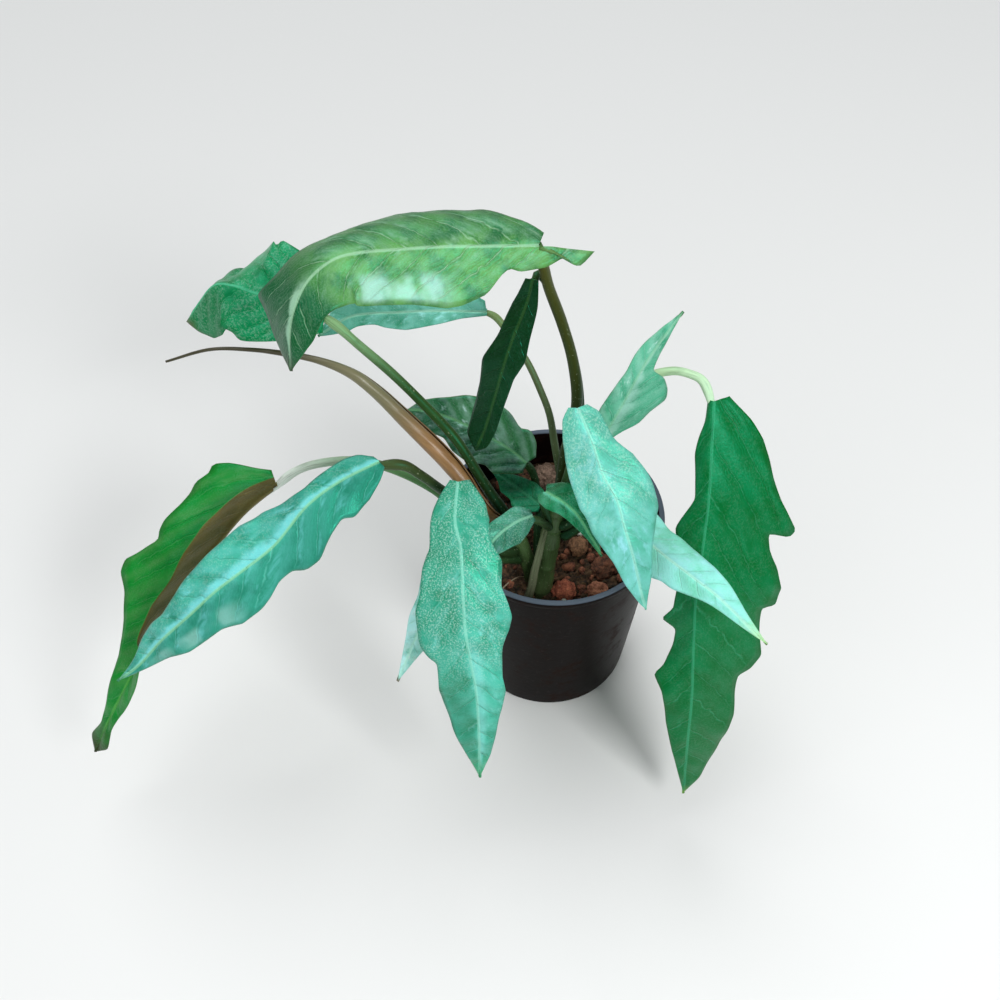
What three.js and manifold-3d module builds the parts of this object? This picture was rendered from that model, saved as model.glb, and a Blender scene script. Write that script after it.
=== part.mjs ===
// A potted philodendron with long lobed leaves and one rolled caramel new leaf, in a plastic nursery pot.
// Millimetres, +Z up. The origin is the centre of the pot's base, on the surface it stands on.
import * as THREE from "three";
import { mergeVertices } from "three/addons/utils/BufferGeometryUtils.js";
import Module from "manifold-3d";

const wasm = await Module();
wasm.setup();

// Pot
const POT_RIM_RADIUS = 63;
const POT_HEIGHT = 136;
const POT_BASE_RADIUS = 50;
const POT_WALL = 1.6;
const POT_FLOOR = 2.4;
const POT_BASE_ROUND = 3;
const RIM_LIP_HEIGHT = 5;
const RIM_LIP_REACH = 1.6;
const RIM_CHAMFER = 0.8;
const DRAIN_HOLES = 6;
const DRAIN_HOLE_RADIUS = 3.5;
const DRAIN_RING_RADIUS = 36;
const DRAIN_HOLE_SIDES = 12;
const POT_SIDES = 48;

// Soil and the clods of baked clay that lie on it
const SOIL_LEVEL = 112;
const SOIL_RINGS = 8;
const SOIL_SIDES = 36;
const SOIL_LUMP = 3.2;
const SOIL_EDGE_DROP = 1;
const SOIL_LUMP_SHARES = [0.45, 0.55];
const CLODS = [
  { name: "clod_back", centre: [-3, 43], size: [10, 8, 8] },
  { name: "clod_middle", centre: [14, -9], size: [8, 5, 5] },
  { name: "clod_front", centre: [5, -39], size: [8, 7, 5] },
  { name: "clod_front_right", centre: [24, -40], size: [7, 6, 5] },
  { name: "clod_right", centre: [29, -23], size: [9, 7, 5] },
  { name: "clod_left", centre: [-33, -4], size: [6, 5, 4] },
];
const REAR_CLOD_RING = 38;
const REAR_CLOD_BEARINGS = [28, 58, 128, 160];
const CLOD_RAISED = 0.35;
const CLOD_ROUGH = 0.3;
const CLOD_SEED = 100;

// Clearances and sections
const GAP = 0.3;
const BLADE_THICKNESS = 0.9;
const MIDRIB_RIDGE_BASE = 1.9;
const MIDRIB_RIDGE_TIP = 0.2;
const VEIN_SLANT = 0.6;
const BLADE_COLUMNS = [0, 0.16, 0.55, 1];
const ROW_STEP = 15;
const ROW_LEAST = 1.2;
const STEM_SIDES = 10;
const STEM_STEPS = 9;
const PETIOLE_SIDES = 8;
const PETIOLE_STEP = 13;
const SCROLL_STEPS = 22;
const NORMAL_STEP = 0.4;
const CURL_SPAN = 10;

const COLOURS = {
  pot: 0x201e20,
  soil: 0x3a251c,
  clod: 0x7a4030,
  stem: 0x4c5a2c,
  deepGreen: 0x1f8f52,
  teal: 0x4fb795,
  shade: 0x15502e,
  light: 0x63ab7c,
  petioleDark: 0x35501f,
  petioleOlive: 0x5d5a22,
  petiolePale: 0x83a95a,
  caramel: 0xab8454,
};

// The main stem and the shoot beside it: centre line and thickness
const STEM = {
  points: [[-9, -39, 88], [-8, -37, 108], [-5, -30, 135], [-2, -23, 156], [0, -20, 168], [1, -18, 176]],
  radius: [[0, 6.5], [0.6, 5.6], [0.92, 5], [1, 3.4]],
};
const SHOOT = {
  points: [[-9, -37, 96], [-13, -32, 118], [-18, -28, 138], [-24, -26, 152], [-29, -25, 163]],
  radius: [[0, 4.6], [0.6, 4.4], [0.92, 4.2], [1, 3]],
};

// The rolled new leaf, a long tapering scroll
const ROLLED_LEAF = {
  name: "rolled_new_leaf",
  points: [
    [-28, -26, 158], [-36, -27, 167], [-44, -21, 175], [-50, -14, 181], [-62, -4, 191], [-81, 8, 206],
    [-96, 17, 218], [-109, 22, 227], [-125, 26, 232], [-143, 30, 233], [-162, 33, 233], [-184, 35, 231],
    [-209, 36, 221],
  ],
  radius: [[0, 3.6], [0.1, 4.2], [0.2, 5.2], [0.38, 4.6], [0.5, 3.4], [0.62, 2.1], [0.75, 1.3], [1, 0.7]],
  lip: 0.22,
};

// Each leaf: the midrib's points from base to tip, the way its upper face looks at shares of the
// length, the fold of each half in degrees (up is positive), its curl in degrees for each 10 mm out,
// its edge as [mm along the midrib, mm out from it], and the stalk that carries it.
const LEAVES = [
  {
    name: "top",
    colour: COLOURS.light,
    midrib: [
      [-13, 22, 312], [-37, 18, 315], [-58, 14, 318], [-76, 10, 320], [-96, 5, 322],
      [-108, 0, 321], [-119, -8, 314], [-126, -18, 300], [-128, -26, 278],
    ],
    face: [
      [0, [0, -0.35, 1]], [0.55, [-0.1, -0.35, 1]], [0.72, [-0.45, -0.5, 0.7]], [1, [-0.8, -0.6, 0.3]],
    ],
    fold: {
      left: [[0, -32], [0.6, -28], [1, -5]],
      right: [[0, 22], [0.35, 12], [0.55, -6], [0.75, -14], [1, -8]],
    },
    curl: { left: 0, right: [[0, -30], [0.6, -18], [0.8, 0], [1, 0]] },
    left: [
      [-27, 3], [-20, 10], [-16, 9], [-13, 5], [-4, 10], [9, 12], [14, 10], [19, 14], [25, 22],
      [37, 27], [45, 28], [63, 25], [86, 24], [111, 19], [125, 15], [137, 13], [147, 7],
    ],
    right: [
      [-3, 6], [6, 14], [16, 20], [24, 24], [30, 24], [45, 32], [60, 36], [66, 32], [78, 30],
      [90, 25], [103, 21], [113, 23], [124, 27], [130, 32], [137, 25], [146, 18], [152, 10],
    ],
    stalk: {
      colour: COLOURS.petioleOlive,
      points: [
        [1, -17, 160], [2, -11, 179], [4, -3, 193], [8, 5, 207], [9, 12, 222], [6, 20, 240], [0, 25, 260],
        [-7, 27, 281], [-11, 26, 298], [-13, 23, 309],
      ],
      radius: [3.4, 2.7],
    },
  },
  {
    name: "right_big",
    colour: COLOURS.deepGreen,
    midrib: [
      [75, -12, 242], [74, -30, 226], [73, -48, 209], [71, -64, 188], [69, -79, 166],
      [70, -92, 138], [72, -104, 106], [73, -112, 75], [76, -120, 23],
    ],
    face: [[0, [0.1, -0.75, 0.7]], [1, [0.1, -0.85, 0.5]]],
    fold: { left: -10, right: [[0, -50], [0.5, -46], [0.65, -20], [1, -12]] },
    curl: { left: 0, right: 0 },
    left: [
      [-3, 8], [8, 20], [18, 28], [27, 32], [37, 35], [49, 40], [65, 51], [69, 48], [67, 36],
      [76, 38], [85, 44], [101, 48], [115, 46], [115, 38], [133, 38], [148, 40], [156, 34],
      [159, 27], [171, 26], [187, 26], [216, 19], [240, 9],
    ],
    right: [
      [-1, 4], [10, 5], [18, 8], [27, 10], [38, 9], [50, 8], [60, 13], [68, 17], [82, 14],
      [100, 12], [112, 13], [121, 20], [124, 11], [134, 12], [147, 16], [153, 21], [163, 16],
      [187, 13], [222, 6],
    ],
    stalk: {
      colour: COLOURS.petiolePale,
      points: [
        [4, -22, 165], [12, -17, 181], [22, -7, 208], [33, 0, 230], [43, 3, 243], [54, 2, 249],
        [63, 0, 249], [70, -4, 247], [75, -11, 243],
      ],
      radius: [3.2, 2.1],
    },
  },
  {
    name: "front",
    colour: COLOURS.teal,
    midrib: [
      [-52, -42, 216], [-53, -62, 211], [-50, -76, 205], [-49, -93, 191], [-48, -104, 177],
      [-46, -112, 165], [-43, -120, 144], [-42, -126, 114], [-42, -132, 70],
    ],
    face: [[0, [0, -0.45, 0.9]], [0.4, [0, -0.7, 0.7]], [1, [0, -0.9, 0.4]]],
    fold: { left: -10, right: -8 },
    curl: { left: 0, right: 0 },
    left: [
      [-2, 6], [3, 10], [10, 15], [21, 17], [34, 15], [42, 20], [55, 19], [64, 22], [73, 24],
      [81, 22], [90, 17], [107, 14], [116, 15], [136, 11], [168, 6],
    ],
    right: [
      [-1, 4], [7, 8], [15, 11], [23, 13], [29, 15], [45, 20], [56, 21], [66, 24], [82, 24],
      [91, 20], [93, 17], [113, 19], [123, 18], [144, 14], [164, 8],
    ],
    stalk: {
      colour: COLOURS.petioleDark,
      points: [
        [-22, -30, 140], [-31, -37, 150], [-42, -40, 165], [-50, -40, 183], [-54, -40, 201], [-53, -41, 213],
      ],
      radius: [3, 2.2],
    },
  },
  {
    name: "left_front",
    colour: COLOURS.teal,
    midrib: [
      [-91, -34, 222], [-110, -46, 221], [-126, -57, 215], [-142, -70, 201], [-159, -80, 192],
      [-172, -87, 185], [-186, -93, 173], [-202, -98, 158], [-217, -102, 140], [-230, -106, 130],
    ],
    face: [[0, [-0.2, -0.5, 0.9]], [1, [-0.3, -0.8, 0.6]]],
    fold: { left: -10, right: -12 },
    curl: { left: 0, right: 0 },
    left: [
      [-1, 4], [4, 9], [13, 15], [26, 19], [32, 16], [40, 18], [51, 20], [59, 22], [66, 20],
      [70, 15], [77, 15], [85, 19], [93, 21], [106, 21], [118, 16], [139, 14], [153, 9], [174, 3],
    ],
    right: [
      [1, 4], [7, 9], [15, 10], [28, 9], [38, 8], [51, 12], [61, 18], [77, 20], [89, 19],
      [100, 18], [115, 16], [129, 13], [140, 10], [149, 11], [159, 9], [174, 4],
    ],
    stalk: {
      colour: COLOURS.petioleDark,
      points: [
        [-24, -28, 148], [-34, -29, 154], [-44, -31, 166], [-54, -30, 185], [-63, -32, 199],
        [-71, -33, 210], [-80, -33, 218], [-90, -34, 221],
      ],
      radius: [3.2, 2.4],
    },
  },
  {
    name: "left_big",
    colour: COLOURS.deepGreen,
    midrib: [
      [-151, -14, 179], [-170, -28, 170], [-188, -48, 157], [-204, -66, 141], [-225, -86, 117],
      [-244, -102, 88], [-259, -112, 60],
    ],
    face: [[0, [-0.2, -0.5, 0.9]], [0.5, [-0.3, -0.6, 0.8]], [1, [-0.4, -0.8, 0.5]]],
    fold: { left: [[0, 105], [0.45, 105], [0.8, 10], [1, 0]], right: -6 },
    curl: { left: 0, right: 0 },
    left: [
      [-2, 5], [10, 12], [25, 17], [40, 18], [55, 18], [70, 16], [85, 15], [97, 17], [104, 22],
      [112, 16], [126, 12], [142, 9], [160, 5], [172, 4], [184, 7],
    ],
    right: [
      [-3, 8], [4, 16], [13, 28], [19, 34], [22, 31], [28, 34], [33, 32], [41, 32], [52, 34],
      [58, 33], [62, 30], [70, 35], [84, 42], [92, 40], [99, 31], [111, 22], [129, 13], [144, 10],
      [160, 6], [172, 4], [184, 7],
    ],
    stalk: {
      colour: COLOURS.petiolePale,
      points: [
        [-18, -24, 136], [-29, -22, 146], [-40, -22, 157], [-54, -23, 170], [-66, -20, 182],
        [-81, -16, 190], [-97, -13, 195], [-112, -11, 195], [-129, -12, 193], [-141, -13, 187],
        [-150, -14, 180],
      ],
      radius: [3.2, 2.2],
    },
  },
  {
    name: "back_left",
    colour: COLOURS.deepGreen,
    midrib: [
      [-121, 38, 253], [-139, 43, 257], [-157, 48, 259], [-170, 53, 260], [-180, 56, 257],
      [-190, 58, 244], [-200, 58, 229],
    ],
    face: [[0, [0, -0.5, 1]], [0.55, [-0.1, -0.5, 1]], [0.75, [-0.6, -0.5, 0.7]], [1, [-0.8, -0.6, 0.3]]],
    fold: { left: [[0, -20], [1, -10]], right: [[0, 12], [0.4, 0], [0.6, -55], [1, -65]] },
    curl: { left: 0, right: 0 },
    left: [
      [-2, 9], [13, 19], [27, 23], [39, 26], [42, 23], [60, 22], [75, 24], [87, 20], [94, 10],
    ],
    right: [
      [0, 10], [10, 20], [21, 27], [33, 31], [35, 27], [44, 32], [48, 27], [56, 28], [66, 20],
      [80, 14], [92, 8],
    ],
    stalk: {
      colour: COLOURS.petioleDark,
      points: [
        [-26, -24, 155], [-30, -19, 163], [-36, -15, 172], [-42, -11, 182], [-54, -1, 200],
        [-70, 11, 213], [-87, 22, 226], [-104, 31, 238], [-115, 36, 247], [-120, 38, 252],
      ],
      radius: [3.1, 2.4],
    },
  },
  {
    name: "back_low",
    colour: COLOURS.teal,
    midrib: [[-38, 56, 238], [-63, 58, 237], [-85, 60, 234], [-111, 60, 231], [-130, 56, 220]],
    face: [[0, [0, -0.8, 0.7]], [1, [-0.2, -0.8, 0.7]]],
    fold: { left: -8, right: 8 },
    curl: { left: 0, right: 0 },
    left: [[0, 2], [14, 4], [25, 7], [37, 9], [45, 10], [56, 8], [61, 6], [72, 6], [80, 7], [88, 4]],
    right: [[1, 6], [12, 12], [25, 15], [46, 16], [62, 14], [77, 9], [88, 4]],
    stalk: {
      colour: COLOURS.petioleDark,
      points: [
        [-3, -25, 143], [3, -13, 147], [4, -3, 156], [2, 5, 166], [-1, 13, 180], [-4, 22, 194],
        [-9, 32, 203], [-16, 42, 214], [-26, 50, 227], [-33, 55, 235], [-38, 56, 238],
      ],
      radius: [2.6, 1.7],
    },
  },
  {
    name: "hanging",
    colour: COLOURS.shade,
    midrib: [
      [-15, 28, 286], [-18, 23, 274], [-24, 16, 260], [-29, 9, 246], [-34, 3, 227], [-39, -2, 209],
      [-44, -6, 197],
    ],
    face: [[0, [-0.5, -0.8, 0.5]], [1, [-0.5, -0.85, 0.3]]],
    fold: { left: -10, right: -10 },
    curl: { left: 0, right: 0 },
    left: [[0, 3], [13, 6], [27, 8], [41, 10], [52, 7], [69, 6], [82, 6], [95, 5]],
    right: [[1, 4], [16, 8], [33, 9], [49, 13], [63, 11], [79, 11], [94, 9]],
    stalk: {
      colour: COLOURS.petioleDark,
      points: [
        [1, -20, 151], [9, -8, 161], [12, 7, 182], [12, 18, 208], [8, 27, 231], [1, 32, 253],
        [-6, 35, 272], [-12, 34, 284], [-15, 29, 287],
      ],
      radius: [2.4, 1.8],
    },
  },
  {
    name: "spear_right",
    colour: COLOURS.light,
    midrib: [[21, -22, 227], [30, -18, 250], [38, -12, 268], [47, -6, 282], [55, 0, 291]],
    face: [[0, [0.1, -0.8, 0.6]], [1, [0.2, -0.9, 0.3]]],
    fold: { left: 10, right: -12 },
    curl: { left: 0, right: 0 },
    left: [[0, 4], [6, 8], [16, 10], [26, 9], [40, 7], [49, 8], [56, 7], [66, 4]],
    right: [[1, 5], [6, 8], [12, 13], [21, 16], [30, 21], [36, 19], [42, 14], [44, 6], [53, 4], [61, 3]],
    stalk: {
      colour: COLOURS.petioleDark,
      points: [[1, -25, 155], [10, -27, 166], [15, -26, 185], [18, -24, 206], [21, -22, 226]],
      radius: [2.6, 1.8],
    },
  },
  {
    name: "front_right",
    colour: COLOURS.teal,
    midrib: [
      [6, -30, 257], [13, -42, 246], [18, -52, 235], [25, -61, 226], [29, -70, 216],
      [34, -80, 203], [39, -88, 184], [42, -91, 175],
    ],
    face: [[0, [0.1, -0.6, 0.9]], [1, [0, -0.8, 0.7]]],
    fold: { left: -12, right: -10 },
    curl: { left: 0, right: 0 },
    left: [[0, 5], [6, 10], [20, 11], [30, 18], [46, 20], [58, 20], [66, 16], [78, 10], [95, 6]],
    right: [
      [-2, 4], [2, 9], [12, 13], [22, 15], [34, 16], [43, 18], [61, 16], [78, 10], [92, 7], [106, 2],
    ],
    stalk: {
      colour: COLOURS.petioleDark,
      points: [[0, -20, 170], [4, -21, 190], [6, -25, 218], [6, -28, 242], [6, -30, 256]],
      radius: [3, 2.3],
    },
  },
  {
    name: "front_right_low",
    colour: COLOURS.teal,
    midrib: [
      [27, -34, 187], [46, -60, 187], [63, -84, 194], [74, -97, 196], [88, -111, 191], [97, -117, 185],
    ],
    face: [[0, [0.2, -0.6, 0.9]], [1, [0.2, -0.8, 0.7]]],
    fold: { left: -8, right: -8 },
    curl: { left: 0, right: 0 },
    left: [[-2, 9], [10, 14], [22, 14], [32, 12], [41, 13], [55, 12], [67, 11], [81, 8], [95, 4]],
    right: [
      [-3, 6], [9, 12], [20, 15], [31, 14], [45, 13], [50, 11], [58, 11], [72, 7], [82, 5], [95, 3],
    ],
    stalk: {
      colour: COLOURS.petioleDark,
      points: [[2, -27, 148], [11, -26, 155], [18, -29, 166], [24, -32, 179], [27, -34, 186]],
      radius: [2.6, 2],
    },
  },
  {
    name: "behind_front",
    colour: COLOURS.teal,
    midrib: [[-59, -60, 174], [-66, -76, 161], [-73, -86, 148], [-79, -92, 133], [-86, -96, 112]],
    face: [[0, [-0.2, -0.7, 0.8]], [1, [-0.2, -0.8, 0.5]]],
    fold: { left: -8, right: -8 },
    curl: { left: 0, right: 0 },
    left: [[-1, 4], [12, 9], [28, 10], [36, 8], [48, 7], [60, 4]],
    right: [[-1, 4], [12, 10], [22, 8], [34, 8], [48, 5], [60, 3]],
    stalk: {
      colour: COLOURS.petioleDark,
      points: [[-19, -30, 132], [-28, -36, 140], [-39, -45, 152], [-50, -54, 166], [-58, -59, 173]],
      radius: [2.4, 1.8],
    },
  },
  {
    name: "small_front",
    colour: COLOURS.teal,
    midrib: [[-14, -36, 180], [-22, -42, 183], [-31, -50, 183], [-39, -58, 178], [-45, -64, 171]],
    face: [[0, [0, -0.5, 0.85]], [1, [-0.2, -0.5, 0.85]]],
    fold: { left: 8, right: 10 },
    curl: { left: 0, right: 0 },
    left: [[0, 3], [8, 8], [18, 11], [26, 9], [36, 5]],
    right: [[0, 3], [8, 8], [16, 7], [26, 8], [36, 4]],
    stalk: {
      colour: COLOURS.petioleDark,
      points: [[-3, -25, 155], [-7, -29, 163], [-11, -33, 172], [-14, -36, 179]],
      radius: [2.2, 1.7],
    },
  },
  {
    name: "back_broad",
    colour: COLOURS.teal,
    midrib: [[-16, 18, 158], [-25, 26, 160], [-40, 36, 162], [-60, 46, 165], [-74, 52, 164], [-85, 56, 161]],
    face: [[0, [0, -0.5, 0.9]], [1, [-0.2, -0.5, 0.9]]],
    fold: { left: -8, right: 8 },
    curl: { left: 0, right: 0 },
    left: [[-2, 6], [4, 12], [13, 17], [21, 15], [31, 19], [43, 17], [51, 12], [59, 12], [71, 7]],
    right: [[-2, 6], [3, 12], [10, 16], [14, 13], [23, 18], [35, 20], [49, 16], [57, 11], [71, 6]],
    stalk: {
      colour: COLOURS.petioleDark,
      points: [[-6, -31, 118], [-5, -12, 124], [-8, 8, 133], [-12, 20, 146], [-16, 18, 157]],
      radius: [2.6, 2],
    },
  },
  {
    name: "small_middle",
    colour: COLOURS.deepGreen,
    midrib: [[-7, -24, 185], [0, -35, 192], [8, -43, 191], [15, -50, 182], [22, -55, 170]],
    face: [[0, [0, -0.4, 0.9]], [1, [0.1, -0.5, 0.85]]],
    fold: { left: 12, right: 14 },
    curl: { left: 0, right: 0 },
    left: [[-3, 4], [6, 8], [16, 11], [22, 9], [30, 9], [40, 4]],
    right: [[-2, 4], [5, 8], [14, 9], [20, 7], [28, 6], [38, 3]],
    stalk: {
      colour: COLOURS.petioleDark,
      points: [[-3, -24, 158], [-6, -24, 167], [-8, -23, 176], [-7, -24, 184]],
      radius: [2.2, 1.7],
    },
  },
  {
    name: "small_back",
    colour: COLOURS.shade,
    midrib: [[-8, -3, 146], [-17, 8, 143], [-27, 20, 140], [-37, 30, 139]],
    face: [[0, [0, -0.5, 0.85]], [1, [0, -0.5, 0.85]]],
    fold: { left: 5, right: -6 },
    curl: { left: 0, right: 0 },
    left: [[-2, 4], [6, 10], [14, 11], [18, 8], [28, 8], [34, 4]],
    right: [[-2, 4], [5, 8], [14, 9], [24, 7], [34, 4]],
    stalk: {
      colour: COLOURS.petioleDark,
      points: [[-7, -33, 124], [-10, -23, 129], [-10, -12, 138], [-8, -4, 145]],
      radius: [2.3, 1.8],
    },
  },
];

const plant = new THREE.Group();
plant.name = "potted_philodendron";

// Numbers
const lerp = THREE.MathUtils.lerp;
const radians = THREE.MathUtils.degToRad;

function ramp(table, s) {
  if (typeof table === "number") return table;
  let last = table[0];
  for (const entry of table) {
    if (s < entry[0]) return lerp(last[1], entry[1], (s - last[0]) / (entry[0] - last[0]));
    last = entry;
  }
  return last[1];
}

function seeded(seed) {
  let state = seed;
  return () => {
    state = (state * 1664525 + 1013904223) % 4294967296;
    return state / 4294967296;
  };
}

// Solids
function solidOf(geometry) {
  const plain = geometry.clone();
  plain.deleteAttribute("normal");
  plain.deleteAttribute("uv");
  const merged = mergeVertices(plain, 1e-4);
  return new wasm.Manifold(
    new wasm.Mesh({
      numProp: 3,
      vertProperties: new Float32Array(merged.attributes.position.array),
      triVerts: new Uint32Array(merged.index.array),
    }),
  );
}

function largestBody(solid) {
  const bodies = solid.decompose();
  return bodies.reduce((best, body) => (body.volume() > best.volume() ? body : best));
}

function geometryOf(solid) {
  const mesh = solid.getMesh();
  const geometry = new THREE.BufferGeometry();
  geometry.setAttribute("position", new THREE.BufferAttribute(new Float32Array(mesh.vertProperties), 3));
  geometry.setIndex(new THREE.BufferAttribute(new Uint32Array(mesh.triVerts), 1));
  return geometry;
}

function addMesh(name, geometry, colour, roughness) {
  geometry.computeVertexNormals();
  const material = new THREE.MeshStandardMaterial({ color: colour, roughness, metalness: 0 });
  const mesh = new THREE.Mesh(geometry, material);
  mesh.name = name;
  plant.add(mesh);
}

function curveThrough(points) {
  return new THREE.CatmullRomCurve3(points.map((p) => new THREE.Vector3(...p)), false, "catmullrom");
}

// A closed tube along a curve whose section is given by a function of the share along it and the angle.
function loft(curve, steps, sides, section) {
  const frames = curve.computeFrenetFrames(steps, false);
  const positions = [];
  const indices = [];
  for (let i = 0; i <= steps; i++) {
    const centre = curve.getPointAt(i / steps);
    for (let j = 0; j < sides; j++) {
      const angle = (j / sides) * Math.PI * 2;
      const radius = section(i / steps, angle);
      const point = centre
        .clone()
        .addScaledVector(frames.normals[i], Math.cos(angle) * radius)
        .addScaledVector(frames.binormals[i], Math.sin(angle) * radius);
      positions.push(point.x, point.y, point.z);
    }
  }
  for (let i = 0; i < steps; i++) {
    for (let j = 0; j < sides; j++) {
      const a = i * sides + j;
      const b = i * sides + ((j + 1) % sides);
      indices.push(a, b, b + sides, a, b + sides, a + sides);
    }
  }
  for (const end of [0, steps]) {
    const centre = curve.getPointAt(end / steps);
    const hub = positions.length / 3;
    positions.push(centre.x, centre.y, centre.z);
    for (let j = 0; j < sides; j++) {
      const a = end * sides + j;
      const b = end * sides + ((j + 1) % sides);
      if (end === 0) indices.push(hub, b, a);
      else indices.push(hub, a, b);
    }
  }
  const geometry = new THREE.BufferGeometry();
  geometry.setAttribute("position", new THREE.Float32BufferAttribute(positions, 3));
  geometry.setIndex(indices);
  return geometry;
}

// Pot
function wallRadius(z) {
  return lerp(POT_BASE_RADIUS, POT_RIM_RADIUS - RIM_LIP_REACH, z / POT_HEIGHT);
}

function potSolid() {
  const outer = [new THREE.Vector2(0, 0)];
  for (let i = 0; i <= 3; i++) {
    const angle = radians(i * 30);
    const reach = POT_BASE_RADIUS - POT_BASE_ROUND + POT_BASE_ROUND * Math.sin(angle);
    outer.push(new THREE.Vector2(reach, POT_BASE_ROUND * (1 - Math.cos(angle))));
  }
  const lipFoot = POT_HEIGHT - RIM_LIP_HEIGHT;
  outer.push(new THREE.Vector2(wallRadius(lipFoot), lipFoot));
  outer.push(new THREE.Vector2(POT_RIM_RADIUS, lipFoot + RIM_CHAMFER));
  outer.push(new THREE.Vector2(POT_RIM_RADIUS, POT_HEIGHT - RIM_CHAMFER));
  outer.push(new THREE.Vector2(POT_RIM_RADIUS - RIM_CHAMFER, POT_HEIGHT));
  const inner = [
    new THREE.Vector2(wallRadius(POT_HEIGHT) - POT_WALL, POT_HEIGHT),
    new THREE.Vector2(wallRadius(POT_FLOOR) - POT_WALL, POT_FLOOR),
    new THREE.Vector2(0, POT_FLOOR),
  ];
  const shell = new THREE.LatheGeometry([...outer, ...inner], POT_SIDES);
  let pot = solidOf(shell.rotateX(Math.PI / 2));
  for (let i = 0; i < DRAIN_HOLES; i++) {
    const angle = ((i + 0.5) / DRAIN_HOLES) * Math.PI * 2;
    const drill = new THREE.CylinderGeometry(
      DRAIN_HOLE_RADIUS, DRAIN_HOLE_RADIUS, 4 * POT_FLOOR, DRAIN_HOLE_SIDES,
    );
    drill.rotateX(Math.PI / 2);
    drill.translate(DRAIN_RING_RADIUS * Math.cos(angle), DRAIN_RING_RADIUS * Math.sin(angle), 0);
    pot = pot.subtract(solidOf(drill));
  }
  return pot;
}

// Soil
function soilHeight(x, y) {
  const coarse = Math.sin(x * 0.31 + 1.3) * Math.cos(y * 0.27 - 0.6);
  const fine = Math.sin(x * 0.83 - y * 0.47) * Math.cos(y * 0.91 + x * 0.29 + 2.1);
  return SOIL_LEVEL + SOIL_LUMP * (SOIL_LUMP_SHARES[0] * coarse + SOIL_LUMP_SHARES[1] * fine);
}

function soilSolid() {
  const positions = [];
  const indices = [];
  const topRadius = wallRadius(SOIL_LEVEL) - POT_WALL - GAP;
  const footRadius = wallRadius(POT_FLOOR + GAP) - POT_WALL - GAP;
  const foot = POT_FLOOR + GAP;
  positions.push(0, 0, soilHeight(0, 0));
  for (let ring = 1; ring <= SOIL_RINGS; ring++) {
    const radius = (topRadius * ring) / SOIL_RINGS;
    for (let j = 0; j < SOIL_SIDES; j++) {
      const angle = (j / SOIL_SIDES) * Math.PI * 2;
      const x = radius * Math.cos(angle);
      const y = radius * Math.sin(angle);
      positions.push(x, y, ring === SOIL_RINGS ? SOIL_LEVEL - SOIL_EDGE_DROP : soilHeight(x, y));
    }
  }
  for (let j = 0; j < SOIL_SIDES; j++) {
    const angle = (j / SOIL_SIDES) * Math.PI * 2;
    positions.push(footRadius * Math.cos(angle), footRadius * Math.sin(angle), foot);
  }
  positions.push(0, 0, foot);
  const at = (ring, j) => 1 + (ring - 1) * SOIL_SIDES + (j % SOIL_SIDES);
  for (let j = 0; j < SOIL_SIDES; j++) {
    indices.push(0, at(1, j), at(1, j + 1));
    for (let ring = 1; ring <= SOIL_RINGS; ring++) {
      indices.push(at(ring, j), at(ring + 1, j), at(ring + 1, j + 1));
      indices.push(at(ring, j), at(ring + 1, j + 1), at(ring, j + 1));
    }
    indices.push(positions.length / 3 - 1, at(SOIL_RINGS + 1, j + 1), at(SOIL_RINGS + 1, j));
  }
  const geometry = new THREE.BufferGeometry();
  geometry.setAttribute("position", new THREE.Float32BufferAttribute(positions, 3));
  geometry.setIndex(indices);
  return solidOf(geometry);
}

// A lump with uneven faces, grown evenly where it is used to cut its bed in the soil.
function clodSolid(clod, grow = 0) {
  const random = seeded(clod.seed);
  const geometry = new THREE.IcosahedronGeometry(1, 1);
  geometry.deleteAttribute("normal");
  geometry.deleteAttribute("uv");
  const merged = mergeVertices(geometry, 1e-4);
  const position = merged.attributes.position;
  const turn = random() * Math.PI;
  for (let i = 0; i < position.count; i++) {
    const swell = 1 + CLOD_ROUGH * (random() - 0.6);
    const point = new THREE.Vector3().fromBufferAttribute(position, i);
    point.set(
      point.x * (clod.size[0] * swell + grow),
      point.y * (clod.size[1] * swell + grow),
      point.z * (clod.size[2] * swell + grow),
    );
    point.applyAxisAngle(new THREE.Vector3(0, 0, 1), turn);
    position.setXYZ(i, point.x + clod.centre[0], point.y + clod.centre[1], point.z + clod.level);
  }
  return solidOf(merged);
}

function allClods() {
  const random = seeded(CLOD_SEED);
  const clods = [...CLODS];
  for (const [i, bearing] of REAR_CLOD_BEARINGS.entries()) {
    const angle = radians(bearing);
    const reach = REAR_CLOD_RING + 6 * random();
    clods.push({
      name: `clod_rear_${i + 1}`,
      centre: [reach * Math.cos(angle), reach * Math.sin(angle)],
      size: [5 + 3 * random(), 4 + 2 * random(), 3.5 + 1.5 * random()],
    });
  }
  return clods.map((clod, i) => ({
    ...clod,
    seed: CLOD_SEED + i,
    level: soilHeight(...clod.centre) + clod.size[2] * CLOD_RAISED,
  }));
}

// Leaves
function leafFrame(leaf, curve, s) {
  const share = THREE.MathUtils.clamp(s, 0, 1);
  const origin = curve.getPointAt(share);
  const along = curve.getTangentAt(share);
  const face = new THREE.Vector3(
    ramp(leaf.face.map(([at, v]) => [at, v[0]]), share),
    ramp(leaf.face.map(([at, v]) => [at, v[1]]), share),
    ramp(leaf.face.map(([at, v]) => [at, v[2]]), share),
  ).normalize();
  const up = face.addScaledVector(along, -face.dot(along)).normalize();
  const left = up.clone().cross(along);
  return { origin, along, up, left, share };
}

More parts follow.
